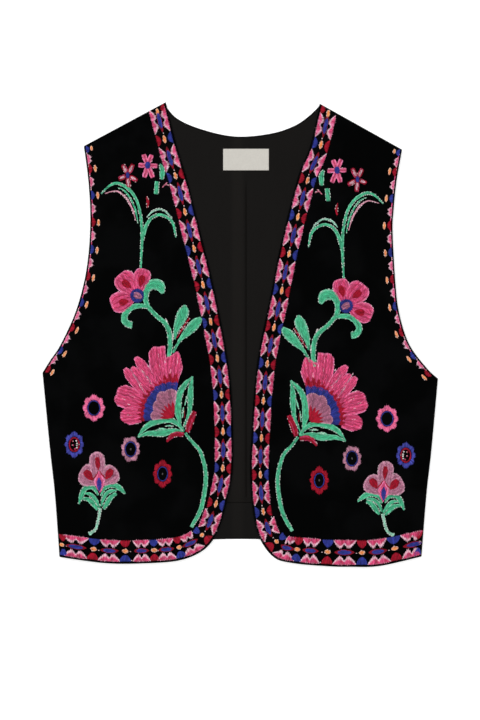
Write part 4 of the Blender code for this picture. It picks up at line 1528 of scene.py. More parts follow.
# %% Bloom stem and leaves
SEPALS = (
    (((4.5, -3), (7.6, 8), (13.5, 22.5)), (4.5, 7.4, 7.6, 7, 5)),
    (((0.6, -5.6), (-8, -4.2), (-15, -7.6), (-20.4, -14.5)), (5, 7.6, 7, 5, 2.4)),
)
SLIT_HIGHLIGHTS = (
    ((-1.2, 14), (-0.6, 22), (0.2, 28)), ((1.6, 29), (3.0, 36), (4.8, 42)),
    ((-11, 4.6), (-17, 5.2), (-23, 4.6)), ((-20, 1.2), (-26, 1.6), (-33, 0.2)),
)


def leaf_halves(spots, widths, slit, lean):
    """The two halves of a leaf beside a slit, which leans to the right of the spine."""
    run = smooth_run(spots, STRIP_STEP)
    share = np.linspace(0, 1, len(run))
    side = normals(run)
    half = np.clip(profile(widths, share), 0.5, None)[:, None] / 2
    gap = np.clip(profile(slit, share), 0.0, None)[:, None] / 2
    middle = run - side * profile(lean, share)[:, None]
    return (between(run + side * half, middle + side * gap),
            between(middle - side * gap, run - side * half))


def sew_split_leaf(work, spots, widths, slit, lean):
    for half in leaf_halves(spots, widths, slit, lean):
        work.fill(half, MINT_STREAKS)


def sew_bloom_stem(work):
    sew_split_leaf(work, ((-2.4, -1), (-1.5, 14), (0, 32), (4, 50), (11, 64.5)),
                   (3, 11, 20.4, 22.4, 20, 13, 2), (0, 4.2, 7.0, 7.4, 5.2, 1.0, 0),
                   (0, 1.2, 2.0, 1.0, 0, 0, 0))
    sew_split_leaf(work, ((1, -1.5), (-14, 5), (-30, 3.4), (-44, -0.5), (-55, -9)),
                   (3, 13, 22.6, 24, 19.6, 11, 2), (0, 3.2, 7.0, 7.0, 4.8, 0.8, 0),
                   (0, 0, 0, 0, 0, 0, 0))
    # Painted highlights: raised pale dashes in the dark slit.
    for line in SLIT_HIGHLIGHTS:
        work.fill(strip(line, (0.8, 1.9, 0.8)), 0.5 * PALE_MINT + 0.5 * MINT, mound=0.5)
    work.fill(strip(((1.6, 14), (0.9, 20), (0.9, 26)), (0.8, 1.6, 0.8)), CRIMSON * 0.5, mound=0.4,
              flecks=0)
    sew_strips(work, SEPALS, CRIMSON_STREAKS)
    work.fill(strip(((2, -3.5), (9, -13), (20, -26), (26.4, -50), (25.4, -73), (20, -97),
                     (9, -117)), (3.2, 4.2, 4.8, 5.0, 5.2, 5.2, 4.2)), MINT_STREAKS)


print("sepals:", len(SEPALS), "dashes in the leaves' slits:", len(SLIT_HIGHLIGHTS))

# %% [markdown]
# The rosette has three rounded petals, each with a crimson drop, round a blue eye. The drops are
# sewn on top, with their points to the eye. Its stem splits into two fat curls and ends in two
# leaves with a crimson line between them.

# %% Rosette and its stem
RosettePetal = namedtuple("RosettePetal", "turn length width")
ROSETTE_PETALS = (RosettePetal(75, 33.5, 20), RosettePetal(129, 33.5, 26),
                  RosettePetal(201, 33.5, 24))
ROSETTE_DROPS = (
    ((3.6, 10.6), (7.2, 24.4), 8.2), ((-7.2, 9.2), (-17.6, 17.8), 8.8),
    ((-10.0, -6.6), (-21.8, -8.8), 8.6),
)
ROSETTE_STEM = (
    (((13.6, -14.4), (10.4, -5.6), (10.6, 3.4), (14.2, 11.2), (20.6, 13.6), (27.4, 11.8),
      (31.0, 2.2)), (4.6, 6.6, 7.4, 10, 13.4, 12.4, 4.0)),
    (((13, -13.6), (5, -12.2), (-5.6, -14), (-13.4, -21), (-15.6, -28.6), (-11.8, -34),
      (-5.6, -35.4)), (4.4, 6, 6.6, 7.0, 7.6, 8.4, 8.4)),
    (((13, -13), (22.4, -23.6), (33, -32.6), (38.4, -43), (39.8, -60), (38, -74)),
     (5, 5.2, 5.6, 6, 5.8, 5)),
    (((45.2, -53), (47.0, -41), (52.0, -29), (56.4, -18), (57, -11)),
     (2, 4.4, 7, 9.8, 12.4, 13.6, 12.2, 3)),
    (((42.8, -69), (47.0, -61.0), (52.2, -52.6), (61.2, -43.2), (70.0, -33.6), (77.2, -26.6)),
     (3, 3, 3.4, 5.0, 8.4, 10.8, 12.2, 10.8, 4)),
)


def sew_rosette(work):
    for petal in ROSETTE_PETALS:
        w = petal.width
        widths = (0.3 * w, 0.66 * w, 0.94 * w, 1.04 * w, w, 0.62 * w)
        place = strip((polar(petal.turn, 3.0), polar(petal.turn, petal.length)), widths)
        tint = rimmed(streaked(PINK, ROSE, 4.3, 0.4, 0.4), BRIGHT_PINK, 0.07, 0.08)
        work.fill(blunt(place, 0.05), tint, flecks=0.25, ragged=1.2)
    for point, head, width in ROSETTE_DROPS:
        widths = (0.5, 0.5 * width, 0.9 * width, width, 0.9 * width, 0.5 * width)
        work.fill(strip((point, head), widths), CRIMSON, mound=0.5, base=1.15, flecks=0)
    work.fill(fan(even(2.0), even(8.8), 0, 360), BLUE * 0.8, closed=True, base=0.75, flecks=0)
    work.fill(strip(((-4.4, 1.6), (0, 0.4), (5.6, -3.4)), (4.4, 8.4, 8.0, 3.0)),
              streaked(MAUVE, MAUVE * 0.6, 2.0, 0.4), mound=0.5, base=1.6, flecks=0)


def sew_rosette_stem(work):
    sew_strips(work, ROSETTE_STEM, MINT_STREAKS)
    work.fill(strip(((47.4, -51.4), (53.0, -42.4), (58.0, -34.0), (63.2, -26.4)),
                    (0.8, 2.0, 2.2, 1.6)), CRIMSON, mound=0.5)
    for line in (((42.4, -47), (42.6, -55)), ((34.0, -27.4), (36.6, -32.4))):
        work.fill(strip(line, (0.8, 1.8, 1.8, 0.8)), PALE_FLECK, mound=0.5, base=0.3)


print("rosette petals:", len(ROSETTE_PETALS), "curls and leaves:", len(ROSETTE_STEM))

# %% [markdown]
# Two arching blades of grass grow from one stem. Each is a firm line of stem stitch with a
# thinner one beside it, and a pink line follows the long blade.

# %% Grass
GRASS = (
    (((0, -3), (1.2, 22), (1.6, 40), (0.4, 58), (-3, 74), (-8.4, 86), (-16, 94.4), (-28, 100.4),
      (-38, 97), (-47.6, 87.4)), (2.2, 2.6, 3.6, 3.6, 3.2, 3.4, 3.8, 3.8, 3.0, 1.6),
     MINT_STREAKS, MOUND),
    (((-3, 51.4), (-5.4, 64), (-9.8, 77), (-15.8, 87), (-22.4, 93.2), (-28, 95)),
     (0.8, 1.8, 2.0, 2.0, 1.8, 0.8), MINT, 0.6),
    (((2.2, 31), (4.4, 43), (7.9, 51.4), (12.9, 58.6), (21.4, 62.4), (28.9, 60.8), (35.7, 56.2),
      (39.6, 50), (42.2, 35)), (2.8, 4.4, 4.2, 3.8, 3.6, 3.4, 3.6, 2.8, 1.4),
     MINT_STREAKS, MOUND),
    (((7.4, 58.6), (12.9, 65.6), (20.5, 69), (27.3, 68), (34, 62.4), (38, 57)),
     (1, 2.2, 2.4, 2.2, 2, 1), PALE_MINT * 0.8, 0.6),
    (((-6, 55), (-9, 66.4), (-14.4, 78), (-20.2, 85.4), (-26, 89.6), (-32, 91), (-43, 88)),
     (1, 1.8, 2, 2, 1.8, 1.4, 0.8), PALE_PINK * 0.7 + PINK * 0.3, 0.5),
)


def sew_grass(work):
    for spots, widths, tint, mound in GRASS:
        work.fill(strip(spots, widths), tint, mound=mound)


print("lines of grass:", len(GRASS))

# %% [markdown]
# The little stars are bars of satin stitch round a blue dot. The second one is pale with a
# crimson outline, so each of its bars is sewn twice, the wider one first.

# %% Stars and small leaves
STAR_A_PETALS = ((-4, 11.8), (69, 13.6), (111, 14.2), (180, 11.4), (254, 15.4), (293, 16.2))
STAR_B_PETALS = ((64, 15.0), (115, 14.4), (203, 12.2), (274, 15.2), (330, 13.4))
DOT_WIDTHS = (0.9, 1.8, 2, 1.8, 0.9)


def sew_dot(work, half_x, half_y, tint):
    widths = [share * half_x for share in DOT_WIDTHS]
    work.fill(strip(((0, -half_y), (0, half_y)), widths), tint, base=1.0, mound=0.6, flecks=0)


def sew_star_a(work):
    for turn, length in STAR_A_PETALS:
        place = strip((polar(turn, 2.5), polar(turn, length)), (4.4, 5.4, 6.0, 6.0, 5.0))
        work.fill(place, rimmed(ROSE, BRIGHT_PINK, 0.3), flecks=0.1)
    sew_dot(work, 3.2, 4.6, BLUE)


def sew_star_b(work):
    for turn, length in STAR_B_PETALS:
        wide = strip((polar(turn, 2.0), polar(turn, length)), (3.4, 5.2, 6.0, 5.8, 4.0))
        work.fill(wide, streaked(CRIMSON, ROSE, 2.0, 0.4), flecks=0.1)
        narrow = strip((polar(turn, 3.8), polar(turn, length - 1.6)), (1.6, 2.8, 3.6, 3.2, 1.6))
        work.fill(narrow, PALE_PINK * 0.8, mound=0.5, base=0.8, flecks=0)
    sew_dot(work, 2.3, 4.0, BLUE)


def sew_small_leaf_a(work):
    work.fill(strip(((-0.9, 9.4), (2.0, 1.5), (1.2, -9.9)), (1.6, 5.2, 6.3, 6.0, 4.0)),
              MINT_STREAKS)


def sew_small_leaf_b(work):
    work.fill(strip(((1.2, 8.0), (0.0, -8.0)), (5.2, 5.8, 5.8, 5.2)), MINT_STREAKS)
    work.fill(strip(((-11.6, -9.7), (-9.8, -17), (-10.8, -24.8)), (0.6, 2.6, 3.4, 3.0, 1.0)),
              CRIMSON, mound=0.6)
    for twig in (((7.2, 0.4), (10.8, 4.0), (14.0, 7.2)), ((10.6, 4.2), (13.6, 3.6), (16.2, 2.0))):
        work.fill(strip(twig, (1.0, 1.8, 1.0)), 0.7 * ROSE + 0.3 * PALE_PINK, mound=0.5)


print("bars of the two stars:", len(STAR_A_PETALS), len(STAR_B_PETALS))

# %% [markdown]
# Four ring flowers are bands of satin stitch with eight small lobes. Their strands point
# outwards, and a thin blue line edges the hole. The blue one has a crimson inner ring and a few
# pale and red knots instead. A small grey mark sits in the hole of the red and the mauve one.

# %% Ring flowers
RING_LOBES = 8
RING_DEPTH = 0.13
RING_MEAN = 0.9
HOLE_CLEAR = 0.9
BLUE_RING_KNOTS = (
    (62, 5.0, PALE_FLECK), (22, 3.4, PALE_FLECK), (-18, 3.4, PALE_FLECK), (200, 2.0, ROSE),
    (-52, 4.8, PALE_FLECK), (-82, 5.2, ROSE), (116, 4.4, CRIMSON),
)


def oval(half_x, half_y, lobes=0, depth=0.0, lean=0.0):
    """An ellipse's radius as a function of the turn's share, with rounded lobes."""

    def radius(t):
        angle = 2 * math.pi * t
        plain = half_x * half_y / np.hypot(half_y * np.cos(angle), half_x * np.sin(angle))
        lobe = 2 * np.abs(np.cos(lobes * angle / 2 + lean)) ** 0.6 - 1
        return plain * (1 + (depth * lobe if lobes else 0.0))

    return radius


def sew_ring(work, outer, hole, tint, lean=0.0):
    rim = oval(outer[0] * RING_MEAN, outer[1] * RING_MEAN, RING_LOBES, RING_DEPTH, lean)
    inner = oval(hole[0] + HOLE_CLEAR, hole[1] + HOLE_CLEAR)
    work.fill(fan(inner, rim, 0, 360), tint, closed=True, pitch=0.9, flecks=0, ragged=0.9)


def sew_thin_ring(work, half_x, half_y, tint):
    inner, outer = oval(half_x - 0.3, half_y - 0.3), oval(half_x + 0.8, half_y + 0.8)
    work.fill(crossed(fan(inner, outer, 0, 360)), tint, mound=0.35, base=0.1, pitch=0.8,
              flecks=0)


def sew_grey_spot(work):
    work.fill(strip(((-0.2, -1.3), (0.3, 1.3)), (1.0, 1.7, 1.0)), 0.12 * PALE_FLECK, mound=0.4,
              flecks=0)


def sew_ring_pink(work):
    sew_ring(work, (13.2, 15.8), (7.2, 8.8), rimmed(0.5 * (PINK + BRIGHT_PINK), BRIGHT_PINK,
                                                    0.01, 0.3))
    sew_thin_ring(work, 7.0, 8.6, BLUE)


def sew_ring_blue(work):
    sew_ring(work, (11.4, 15.4), (6.6, 8.8), BRIGHT_BLUE)
    work.fill(fan(oval(5.2, 7.2), oval(6.6, 9.0), 0, 360), CRIMSON, closed=True, mound=0.7)
    for turn, radius, tint in BLUE_RING_KNOTS:
        x, y = polar(turn, radius)
        work.fill(strip(((x, y - 1.1), (x + 0.2, y + 1.1)), (1.4, 2.2, 1.4)), tint, mound=0.5)


def sew_ring_mauve(work):
    sew_ring(work, (11.2, 15.4), (6.6, 9.0), rimmed(0.5 * (MAUVE + PALE_MAUVE), PALE_MAUVE,
                                                    0.01, 0.4), 1.2)
    sew_thin_ring(work, 6.4, 8.8, BLUE)
    sew_grey_spot(work)


def sew_ring_red(work):
    sew_ring(work, (11.3, 16.4), (6.0, 8.8), CRIMSON)
    sew_thin_ring(work, 5.8, 8.6, BLUE)
    sew_grey_spot(work)


print("lobes of a ring:", RING_LOBES, "knots in the blue one:", len(BLUE_RING_KNOTS))

# %% [markdown]
# The tulip has three mauve petals with crimson drops and a pink diamond between them, with a
# blue drop in it. Its leaves are three mint strands each, with dark gaps. The right front's
# sprig is flatter, so its heights are scaled.

# %% Tulip
FLATTER = 0.84
TULIP_PETALS = (
    (((-2, 2.0), (-8.6, 6.6), (-15.4, 11.2), (-23.2, 15.4)), (10, 20, 26, 26.6, 25, 17), 0.0),
    (((2, 2.0), (7.8, 6.8), (13.8, 11.6), (21.2, 17.0)), (10, 18, 23, 24.4, 22, 14), 0.0),
    (((-1, 5), (-2, 16), (-2.8, 28), (-3, 38.8)), (10, 16, 18.6, 19, 18, 12), 0.3),
)
TULIP_DROPS = (
    ((-1.2, 16.4), (-2.7, 32.6), 6.4), ((-7.8, 4.4), (-17.4, 15.8), 9.6),
    ((7.8, 5.6), (15.0, 17.6), 9.2),
)
TULIP_LINES = (
    ((-1.0, 15.6), (-3.4, 10.6), (-8.6, 5.0)), ((0, 15.6), (3.0, 11.0), (8.4, 6.0)),
)
TULIP_LEAVES = (
    (((-1.5, -14), (-7.6, -4.0), (-17.3, -5.2), (-21.5, -14), (-25, -24.6)), (2, 5, 6, 6, 2)),
    (((0.4, -28.8), (-4.8, -18.6), (-11.1, -12.2), (-18.5, -11.6)), (2.4, 4.4, 4.8, 2)),
    (((-2.0, -31.4), (-7.6, -23.6), (-13.1, -18.5), (-20.8, -18)), (3, 6, 5.6, 3)),
    (((2, -15), (5.5, -6), (13, -1.8), (22.6, -3.6), (31.2, -12)), (2, 4, 5.4, 6.6, 2)),
    (((2.2, -27), (4, -19), (9, -11), (16, -7.8), (21, -8.6)), (2.4, 4.2, 4.6, 4.4, 2)),
    (((4.6, -30.4), (9.4, -23), (13.6, -16), (20.6, -11.4)), (3, 6.4, 6, 4)),
)
TULIP_STALK = ((0.8, -29), (-0.8, -40.4), (-2.8, -48.7), (-4.8, -55), (-13, -60.6))


def sew_tulip(work):
    for spots, widths, base in TULIP_PETALS:
        work.fill(blunt(strip(spots, widths), 0.12), rimmed(MAUVE_STREAKS, PALE_MAUVE), base=base,
                  flecks=0.3, stitch=2.4, ragged=0.9)
    for point, head, width in TULIP_DROPS:
        widths = (0.8, 0.55 * width, 0.9 * width, width, 0.9 * width, 0.5 * width)
        work.fill(strip((point, head), widths), CRIMSON, mound=0.5, base=1.4, flecks=0)
    for line in TULIP_LINES:
        work.fill(strip(line, (1.0, 1.8, 1.8, 0.8)), CRIMSON, mound=0.4, base=1.2, flecks=0)
    work.fill(strip(((0.7, -10.4), (0, 6), (-0.8, 15.6)), (1, 7, 12, 13, 5, 1)),
              rimmed(PINK, BRIGHT_PINK, 0.2), base=1.1, mound=0.7, flecks=0)
    work.fill(strip(((0.1, -8.8), (-0.3, 7.8)), (1.4, 4.6, 6.2, 5.4, 1.4)), BLUE, mound=0.5,
              base=1.8, flecks=0)


def sew_tulip_stem(work):
    drop = 1.0 if work.front.sign > 0 else FLATTER

    def lowered(spots):
        return [(x, y * drop) for x, y in spots]

    leaves = [(lowered(spots), widths) for spots, widths in TULIP_LEAVES]
    sew_strips(work, leaves, MINT_STREAKS, mound=0.8)
    work.fill(strip(lowered(TULIP_STALK), (3.4, 3.2, 3.0, 3.2, 4.4)),
              PALE_MINT * 0.86 + MINT * 0.14, mound=0.8, flecks=0.8, ragged=0.8)


print("tulip petals:", len(TULIP_PETALS), "strands of its leaves:", len(TULIP_LEAVES))

# %% [markdown]
# Each border has one repeat, about 45 mm long on the front edge and shorter round the corner and
# along the hem. A blue lens in a crimson outline lies on the middle line between two pink shapes
# with two lobes each, their inner edges pale. Between two repeats a peach oval lies between a
# blue and a red half oval, which swap sides every time. All are placed by the distance along the
# seam and across the band. Along the hem the band is deeper, and at its far end the direction
# across swings round to that of the side seam.

# %% Border
LENSES = {
    "left": (20, 66, 111, 157, 202, 247, 293, 338, 383, 428, 473, 520, 567, 603, 634, 674, 714),
    "right": (25, 70, 116, 162, 208, 253, 298, 344, 389, 434, 479, 526, 573, 607, 649, 692, 734),
}
FIRST_HALF = 5.0
LAST_HALF = 3.0
FIRST_OVAL = 9.8
SEAM_CLEAR = 1.5
BAND_RIM = 2.8
BAND_DEPTH = 19.2
HEM_BAND_DEPTH = {"left": 25.4, "right": 29.4}
HEM_FROM = 0.66
HEM_OVER = 0.14
END_TURN = 45.0
LIGHT_END = 250.0
NORMAL_BLUR = 17
DEEP_FROM = 23.0
SHAPE_LENGTH = 28.0
SHAPE_SHARE = 0.63
DEEP_LENS_SHARE = 0.58
LOBE_REACH = 0.34
LOBE_END = 0.28
LOBE_POWER = 0.68
NOTCH_DEPTH = 0.52
NOTCH_WIDTH = 0.085
HALF_LENGTH = 13.4
HALF_SHARE = 0.37
CORE_SHARE = 0.68
OVAL_CORE_LENGTH = 0.74
KNOTS = ((-0.16, 0.47), (-0.19, 0.05), (0.19, 0.95))
KNOT_LENGTH = 2.4
KNOT_HALF = 0.7
KNOTS_FROM = 6
KNOTS_TO = 2
Shares = namedtuple("Shares", "lens core half oval_length oval_half")
PLAIN_BAND = Shares(0.138, 0.122, 0.27, 9.8, 2.2)
DEEP_BAND = Shares(0.122, 0.092, 0.32, 7.8, 2.8)


class Seam:
    """Turns a distance along an edge and one across it into a point of the cloth.

    The direction across swings round to the far end's own, so that a band meets its seam.
    """

    def __init__(self, spots, inward, end_way=None):
        self.run = smooth_run(spots, 1.0)
        side = normals(self.run) * inward
        padded = np.vstack([side[:1].repeat(NORMAL_BLUR // 2, axis=0), side,
                            side[-1:].repeat(NORMAL_BLUR // 2, axis=0)])
        kernel = np.ones(NORMAL_BLUR) / NORMAL_BLUR
        side = np.column_stack([np.convolve(padded[:, i], kernel, "valid") for i in (0, 1)])
        self.side = side / np.hypot(side[:, 0], side[:, 1])[:, None]
        self.u = np.concatenate([[0], np.cumsum(np.hypot(*np.diff(self.run, axis=0).T))])
        self.length = self.u[-1]
        if end_way:
            share = ease((self.u - self.length + END_TURN) / END_TURN)[:, None]
            self.side = self.side * (1 - share) + np.array(end_way) / math.hypot(*end_way) * share

    def spot(self, u, v):
        at = [np.interp(u, self.u, values) for values in (*self.run.T, *self.side.T)]
        return at[0] + at[2] * v, at[1] + at[3] * v

    def patch(self, u, length, low, high):
        """An area from low(s) to high(s) across the band, length mm along it about u."""

        def place(s, t):
            across = low(s) + (high(s) - low(s)) * t
            return self.spot(u + (s - 0.5) * length, across)

        return place


# %% [markdown]
# A shape of the border is the area between a low and a high function of the share along it. A
# hump is the side of an oval, and two lobes with a notch between them are a pink shape.

# %% Humps and lobes


def hump(low, high, power=0.5):
    """A round rise from low to high and back."""
    return lambda s: low + (high - low) * np.clip(1 - (2 * s - 1) ** 2, 0, 1) ** power


def both_ways(middle, half, power=0.5):
    """The two sides of an oval about the middle line."""
    return hump(middle, middle - half, power), hump(middle, middle + half, power)


def lobes(low, high):
    """Two round rises side by side, with a notch between them."""

    def value(s):
        ends = np.clip(np.minimum(s, 1 - s) / LOBE_END, 0, 1) ** LOBE_POWER
        notch = 1 - NOTCH_DEPTH * np.exp(-((s - 0.5) / NOTCH_WIDTH) ** 2)
        return low + (high - low) * ends * notch

    return value


# %% [markdown]
# A border's methods sew a lens with its two pink shapes, a pair of half ovals, the peach oval
# between them and the pale knots. Where the band is deeper, along the hem, its shapes take other
# shares of it.

# %% The border's shapes


class Border:
    """One front's border: where its repeats are and what is sewn there."""

    def __init__(self, front, spots, side):
        self.front = front
        self.seam = Seam(spots, -front.sign, (side[1].x - side[0].x, side[1].y - side[0].y))
        self.lenses = np.array(LENSES[front.name], float)
        steps = np.diff(self.lenses)
        middles = (self.lenses[:-1] + self.lenses[1:]) / 2
        self.middles = np.concatenate([[FIRST_HALF], middles, [self.seam.length - LAST_HALF]])
        self.steps = np.concatenate([[steps[0]], steps, [steps[-1]]])

    def patch(self, u, long, low, high):
        """A patch of the seam, cut short at the seam's ends."""
        start = max(SEAM_CLEAR, u - long / 2)
        end = min(self.seam.length - SEAM_CLEAR, u + long / 2)
        return self.seam.patch((start + end) / 2, end - start, low, high)

    def depth(self, u):
        share = ease((u / self.seam.length - HEM_FROM) / HEM_OVER)
        return BAND_DEPTH + (HEM_BAND_DEPTH[self.front.name] - BAND_DEPTH) * share

    def middle(self, u):
        """The band's middle line, across it."""
        return BAND_RIM + 0.5 * self.depth(u)

    def shares(self, u):
        """What its shapes take of the band here."""
        return PLAIN_BAND if self.depth(u) < DEEP_FROM else DEEP_BAND

    def lens(self, work, u, pitch):
        depth, middle, shares = self.depth(u), self.middle(u), self.shares(u)
        long = min(SHAPE_LENGTH, SHAPE_SHARE * pitch)
        slim = long if shares is PLAIN_BAND else DEEP_LENS_SHARE * pitch
        work.fill(self.patch(u, slim, *both_ways(middle, shares.lens * depth, 0.6)),
                  CRIMSON * 0.7, mound=0.7, flecks=0)
        work.fill(self.patch(u, CORE_SHARE * slim, *both_ways(middle, shares.core * depth, 0.4)),
                  BLUE, mound=0.5, base=0.75, flecks=0)
        lighter = BRIGHT_PINK if u < LIGHT_END else ROSE
        reach = LOBE_REACH * depth
        for rim, sign in ((BAND_RIM, 1), (BAND_RIM + depth, -1)):
            low = even(rim)
            work.fill(crossed(self.patch(u, long + 2.0, low, lobes(rim, rim + sign * reach))),
                      PALE_PINK, mound=0.55, pitch=1.15, flecks=0.0, ragged=1.0)
            work.fill(crossed(self.patch(u, 0.98 * long, low,
                                         lobes(rim, rim + sign * CORE_SHARE * reach))),
                      streaked(PINK, lighter, 2.3, 0.36), base=0.25, mound=0.75, flecks=0.04)

    def halves(self, work, index, pitch):
        u = self.middles[index]
        depth = self.depth(u)
        long = min(HALF_LENGTH, HALF_SHARE * pitch)
        outer, inner = (CRIMSON, BLUE) if index % 2 == 0 else (BLUE, CRIMSON)
        for rim, sign, tint in ((BAND_RIM, 1, outer), (BAND_RIM + depth, -1, inner)):
            if sign < 0 and index == 0:
                continue
            far = rim + sign * (self.shares(u).half * depth)
            work.fill(crossed(self.patch(u, long, even(rim), hump(rim, far, 0.6))), tint,
                      flecks=0.05)

    def oval(self, work, u):
        middle, shares = self.middle(u), self.shares(u)
        work.fill(self.patch(u, shares.oval_length, *both_ways(middle, shares.oval_half)),
                  PALE_PEACH, mound=0.7, flecks=0.5)
        work.fill(self.patch(u, OVAL_CORE_LENGTH * shares.oval_length,
                             *both_ways(middle, CORE_SHARE * shares.oval_half)),
                  PEACH, mound=0.4, base=0.6, flecks=0)

    def knots(self, work, u, pitch):
        """Small pale stitches where the shapes nearly touch."""
        for along, across in KNOTS:
            spot = u + along * pitch
            if SEAM_CLEAR + KNOTS_FROM < spot < self.seam.length - SEAM_CLEAR - KNOTS_TO:
                v = BAND_RIM + across * self.depth(u)
                work.fill(self.patch(spot, KNOT_LENGTH, *both_ways(v, KNOT_HALF)), PALE_PINK,
                          mound=0.4, flecks=1.0)


print("border repeats, left and right:", len(LENSES["left"]), len(LENSES["right"]))

# %% [markdown]
# The armholes have a simpler row: half ovals on the seam, blue and red in turn, pink lobes
# between them, a thin pink line in the gaps and a peach oval beside each coloured one.

# %% Armhole row
ROW_SPOTS = (4.8, 28.0, 60.0, 92.2, 124.6, 157.0, 189.2, 221.0, 251.6, 278.4)
ROW_RIM = 2.3
ROW_DEPTH = 4.0
ROW_HALF = 10.4
ROW_FIRST_HALF = 7.6
ROW_LOBES = 12.0
ROW_LOBES_DEPTH = 4.6
ROW_PINK = 11.0
ROW_PINK_DEPTH = 2.9
ROW_LINE = 5.4
ROW_LINE_DEPTH = 0.9
ROW_LINE_AWAY = 8.4
ROW_OVAL_HALF = 1.9
ROW_CORE_HALF = 1.1
ROW_CORE_LENGTH = 0.66
RowOval = namedtuple("RowOval", "shift length middle")
FIRST_ROW_OVAL = RowOval(-0.6, 6.0, 8.8)
ROW_OVAL = RowOval(0.6, 8.6, 10.0)


def sew_armhole_row(work, seam):
    for index, u in enumerate(ROW_SPOTS):
        tint = BLUE if index % 2 == 0 else CRIMSON
        long = ROW_FIRST_HALF if index == 0 else ROW_HALF
        work.fill(crossed(seam.patch(u, long, even(ROW_RIM), hump(ROW_RIM, ROW_RIM + ROW_DEPTH))),
                  tint, flecks=0.1)
    low = even(ROW_RIM)
    for u in [(a + b) / 2 for a, b in zip(ROW_SPOTS, ROW_SPOTS[1:])]:
        work.fill(crossed(seam.patch(u, ROW_LOBES, low, lobes(ROW_RIM, ROW_RIM + ROW_LOBES_DEPTH))),
                  PALE_PINK, mound=0.5, flecks=0)
        work.fill(crossed(seam.patch(u, ROW_PINK, low, hump(ROW_RIM, ROW_RIM + ROW_PINK_DEPTH))),
                  0.5 * (PINK + BRIGHT_PINK), base=0.25, mound=0.7)
        for gap in (-ROW_LINE_AWAY, ROW_LINE_AWAY):
            work.fill(seam.patch(u + gap, ROW_LINE, low, even(ROW_RIM + ROW_LINE_DEPTH)), PINK,
                      mound=0.25, flecks=0.5)


def sew_armhole_ovals(work, seam):
    for index, u in enumerate(ROW_SPOTS):
        oval_here = ROW_OVAL if index else FIRST_ROW_OVAL
        at = u + oval_here.shift
        long, middle = oval_here.length, oval_here.middle
        work.fill(seam.patch(at, long, *both_ways(middle, ROW_OVAL_HALF)), PALE_PEACH, mound=0.6,
                  flecks=0.3)
        work.fill(seam.patch(at, ROW_CORE_LENGTH * long, *both_ways(middle, ROW_CORE_HALF)), PEACH,
                  mound=0.4, base=0.5, flecks=0)


print("coloured half ovals on each armhole:", len(ROW_SPOTS))

# %% [markdown]
# Now everything is sewn, one piece for each solid of thread. A border's peach ovals and pale
# knots are pieces of their own, so that their thread can be changed by itself.

# %% Sewing
Sewn = namedtuple("Sewn", "node motif stitches slot")
SEWN = (
    Sewn("bloom_petals", "bloom", sew_bloom_petals, "pink_thread"),
    Sewn("bloom_heart", "bloom", sew_bloom_heart, "crimson_thread"),
    Sewn("bloom_stem", "calyx", sew_bloom_stem, "mint_thread"),
    Sewn("rosette", "rosette", sew_rosette, "pink_thread"),
    Sewn("rosette_stem", "rosette", sew_rosette_stem, "mint_thread"),
    Sewn("grass", "grass", sew_grass, "mint_thread"),
    Sewn("star_a", "star_a", sew_star_a, "pink_thread"),
    Sewn("star_b", "star_b", sew_star_b, "pink_thread"),
    Sewn("small_leaf_a", "small_leaf_a", sew_small_leaf_a, "mint_thread"),
    Sewn("small_leaf_b", "small_leaf_b", sew_small_leaf_b, "mint_thread"),
    Sewn("ring_pink", "ring_pink", sew_ring_pink, "pink_thread"),
    Sewn("ring_blue", "ring_blue", sew_ring_blue, "blue_thread"),
    Sewn("ring_mauve", "ring_mauve", sew_ring_mauve, "mauve_thread"),
    Sewn("ring_red", "ring_red", sew_ring_red, "crimson_thread"),
    Sewn("tulip", "tulip", sew_tulip, "mauve_thread"),
    Sewn("tulip_stem", "tulip", sew_tulip_stem, "mint_thread"),
)
EDGES = {"left": LEFT_EDGE, "right": RIGHT_EDGE}
SIDES = {"left": LEFT_SIDE, "right": RIGHT_SIDE}
ARMHOLES = {"left": LEFT_ARMHOLE[::-1], "right": RIGHT_ARMHOLE[::-1]}


def dress(piece, node, slot):
    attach(piece, "root")
    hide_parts(node)
    return piece


def sew_motifs(front):
    for sewn in SEWN:
        node = sewn.node + "_" + front.name
        work = Work(node + "_stitches", front, origin_of(sewn.motif, front))
        sewn.stitches(work)
        front.work.append(dress(stitched(work), node, sewn.slot))


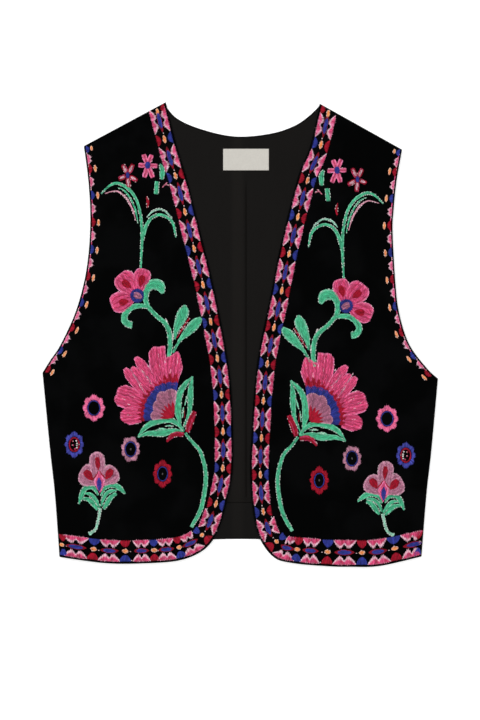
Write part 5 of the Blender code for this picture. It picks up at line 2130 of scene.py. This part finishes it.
def sew_border(front):
    border = Border(front, EDGES[front.name], SIDES[front.name])
    node = "border_" + front.name
    shapes = Work(node + "_stitches", front)
    ovals = Work(node + "_ovals", front)
    knots = Work(node + "_knots", front)
    for u, pitch in zip(border.lenses, border.steps):
        border.lens(shapes, u, pitch)
    for index, (u, pitch) in enumerate(zip(border.middles, border.steps)):
        border.halves(shapes, index, pitch)
        border.oval(ovals, max(u, FIRST_OVAL))
        border.knots(knots, u, pitch)
    for work, slot in ((shapes, "pink_thread"), (ovals, "peach_thread"), (knots, "pale_thread")):
        front.work.append(dress(stitched(work), node, slot))


def sew_armhole(front):
    seam = Seam(ARMHOLES[front.name], front.sign)
    node = "armhole_border_" + front.name
    row = Work(node + "_stitches", front)
    sew_armhole_row(row, seam)
    ovals = Work(node + "_ovals", front)
    sew_armhole_ovals(ovals, seam)
    for work, slot in ((row, "pink_thread"), (ovals, "peach_thread")):
        front.work.append(dress(stitched(work), node, slot))


for front in FRONTS:
    sew_motifs(front)
    sew_border(front)
    sew_armhole(front)
print("stitched pieces:", sum(len(front.work) for front in FRONTS))

# %% [markdown]
# Last, each cloth replaces its solid and says what it was cut to. The flat sizes are the seams'
# own outlines, because laid cloth is neither stretched nor gathered.

# %% The cloth's cut


def cut(loop):
    """The width, length and area of a flat outline, in metres."""
    x, y = loop.T * MM
    area = abs(np.sum(x * np.roll(y, -1) - np.roll(x, -1) * y)) / 2
    return (float(np.ptp(x)), float(np.ptp(y))), float(area)


for front in FRONTS:
    dress(front.velvet, "front_" + front.name, "black_velvet")
    flat, area = cut(front.loop)
    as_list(front.work)
    print(front.velvet.name, "cut:", flat, area)
SHEETS = (
    (back, "back", "black_velvet", BACK_LOOP, []),
    (lining, "back_lining", "charcoal_lining", split(LINING_LOOP, FACING_TOP, True), [back]),
    (facing, "back_hem_facing", "charcoal_lining",
     split(LINING_LOOP, FACING_TOP - FACING_GAP, False), [back]),
    (label, "label", "cream_label", label_outline(), [lining]),
)
for piece, node, slot, loop, below in SHEETS:
    dress(piece, node, slot)
    flat, area = cut(loop)
    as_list(below)
    print(piece.name, "cut:", flat, area)
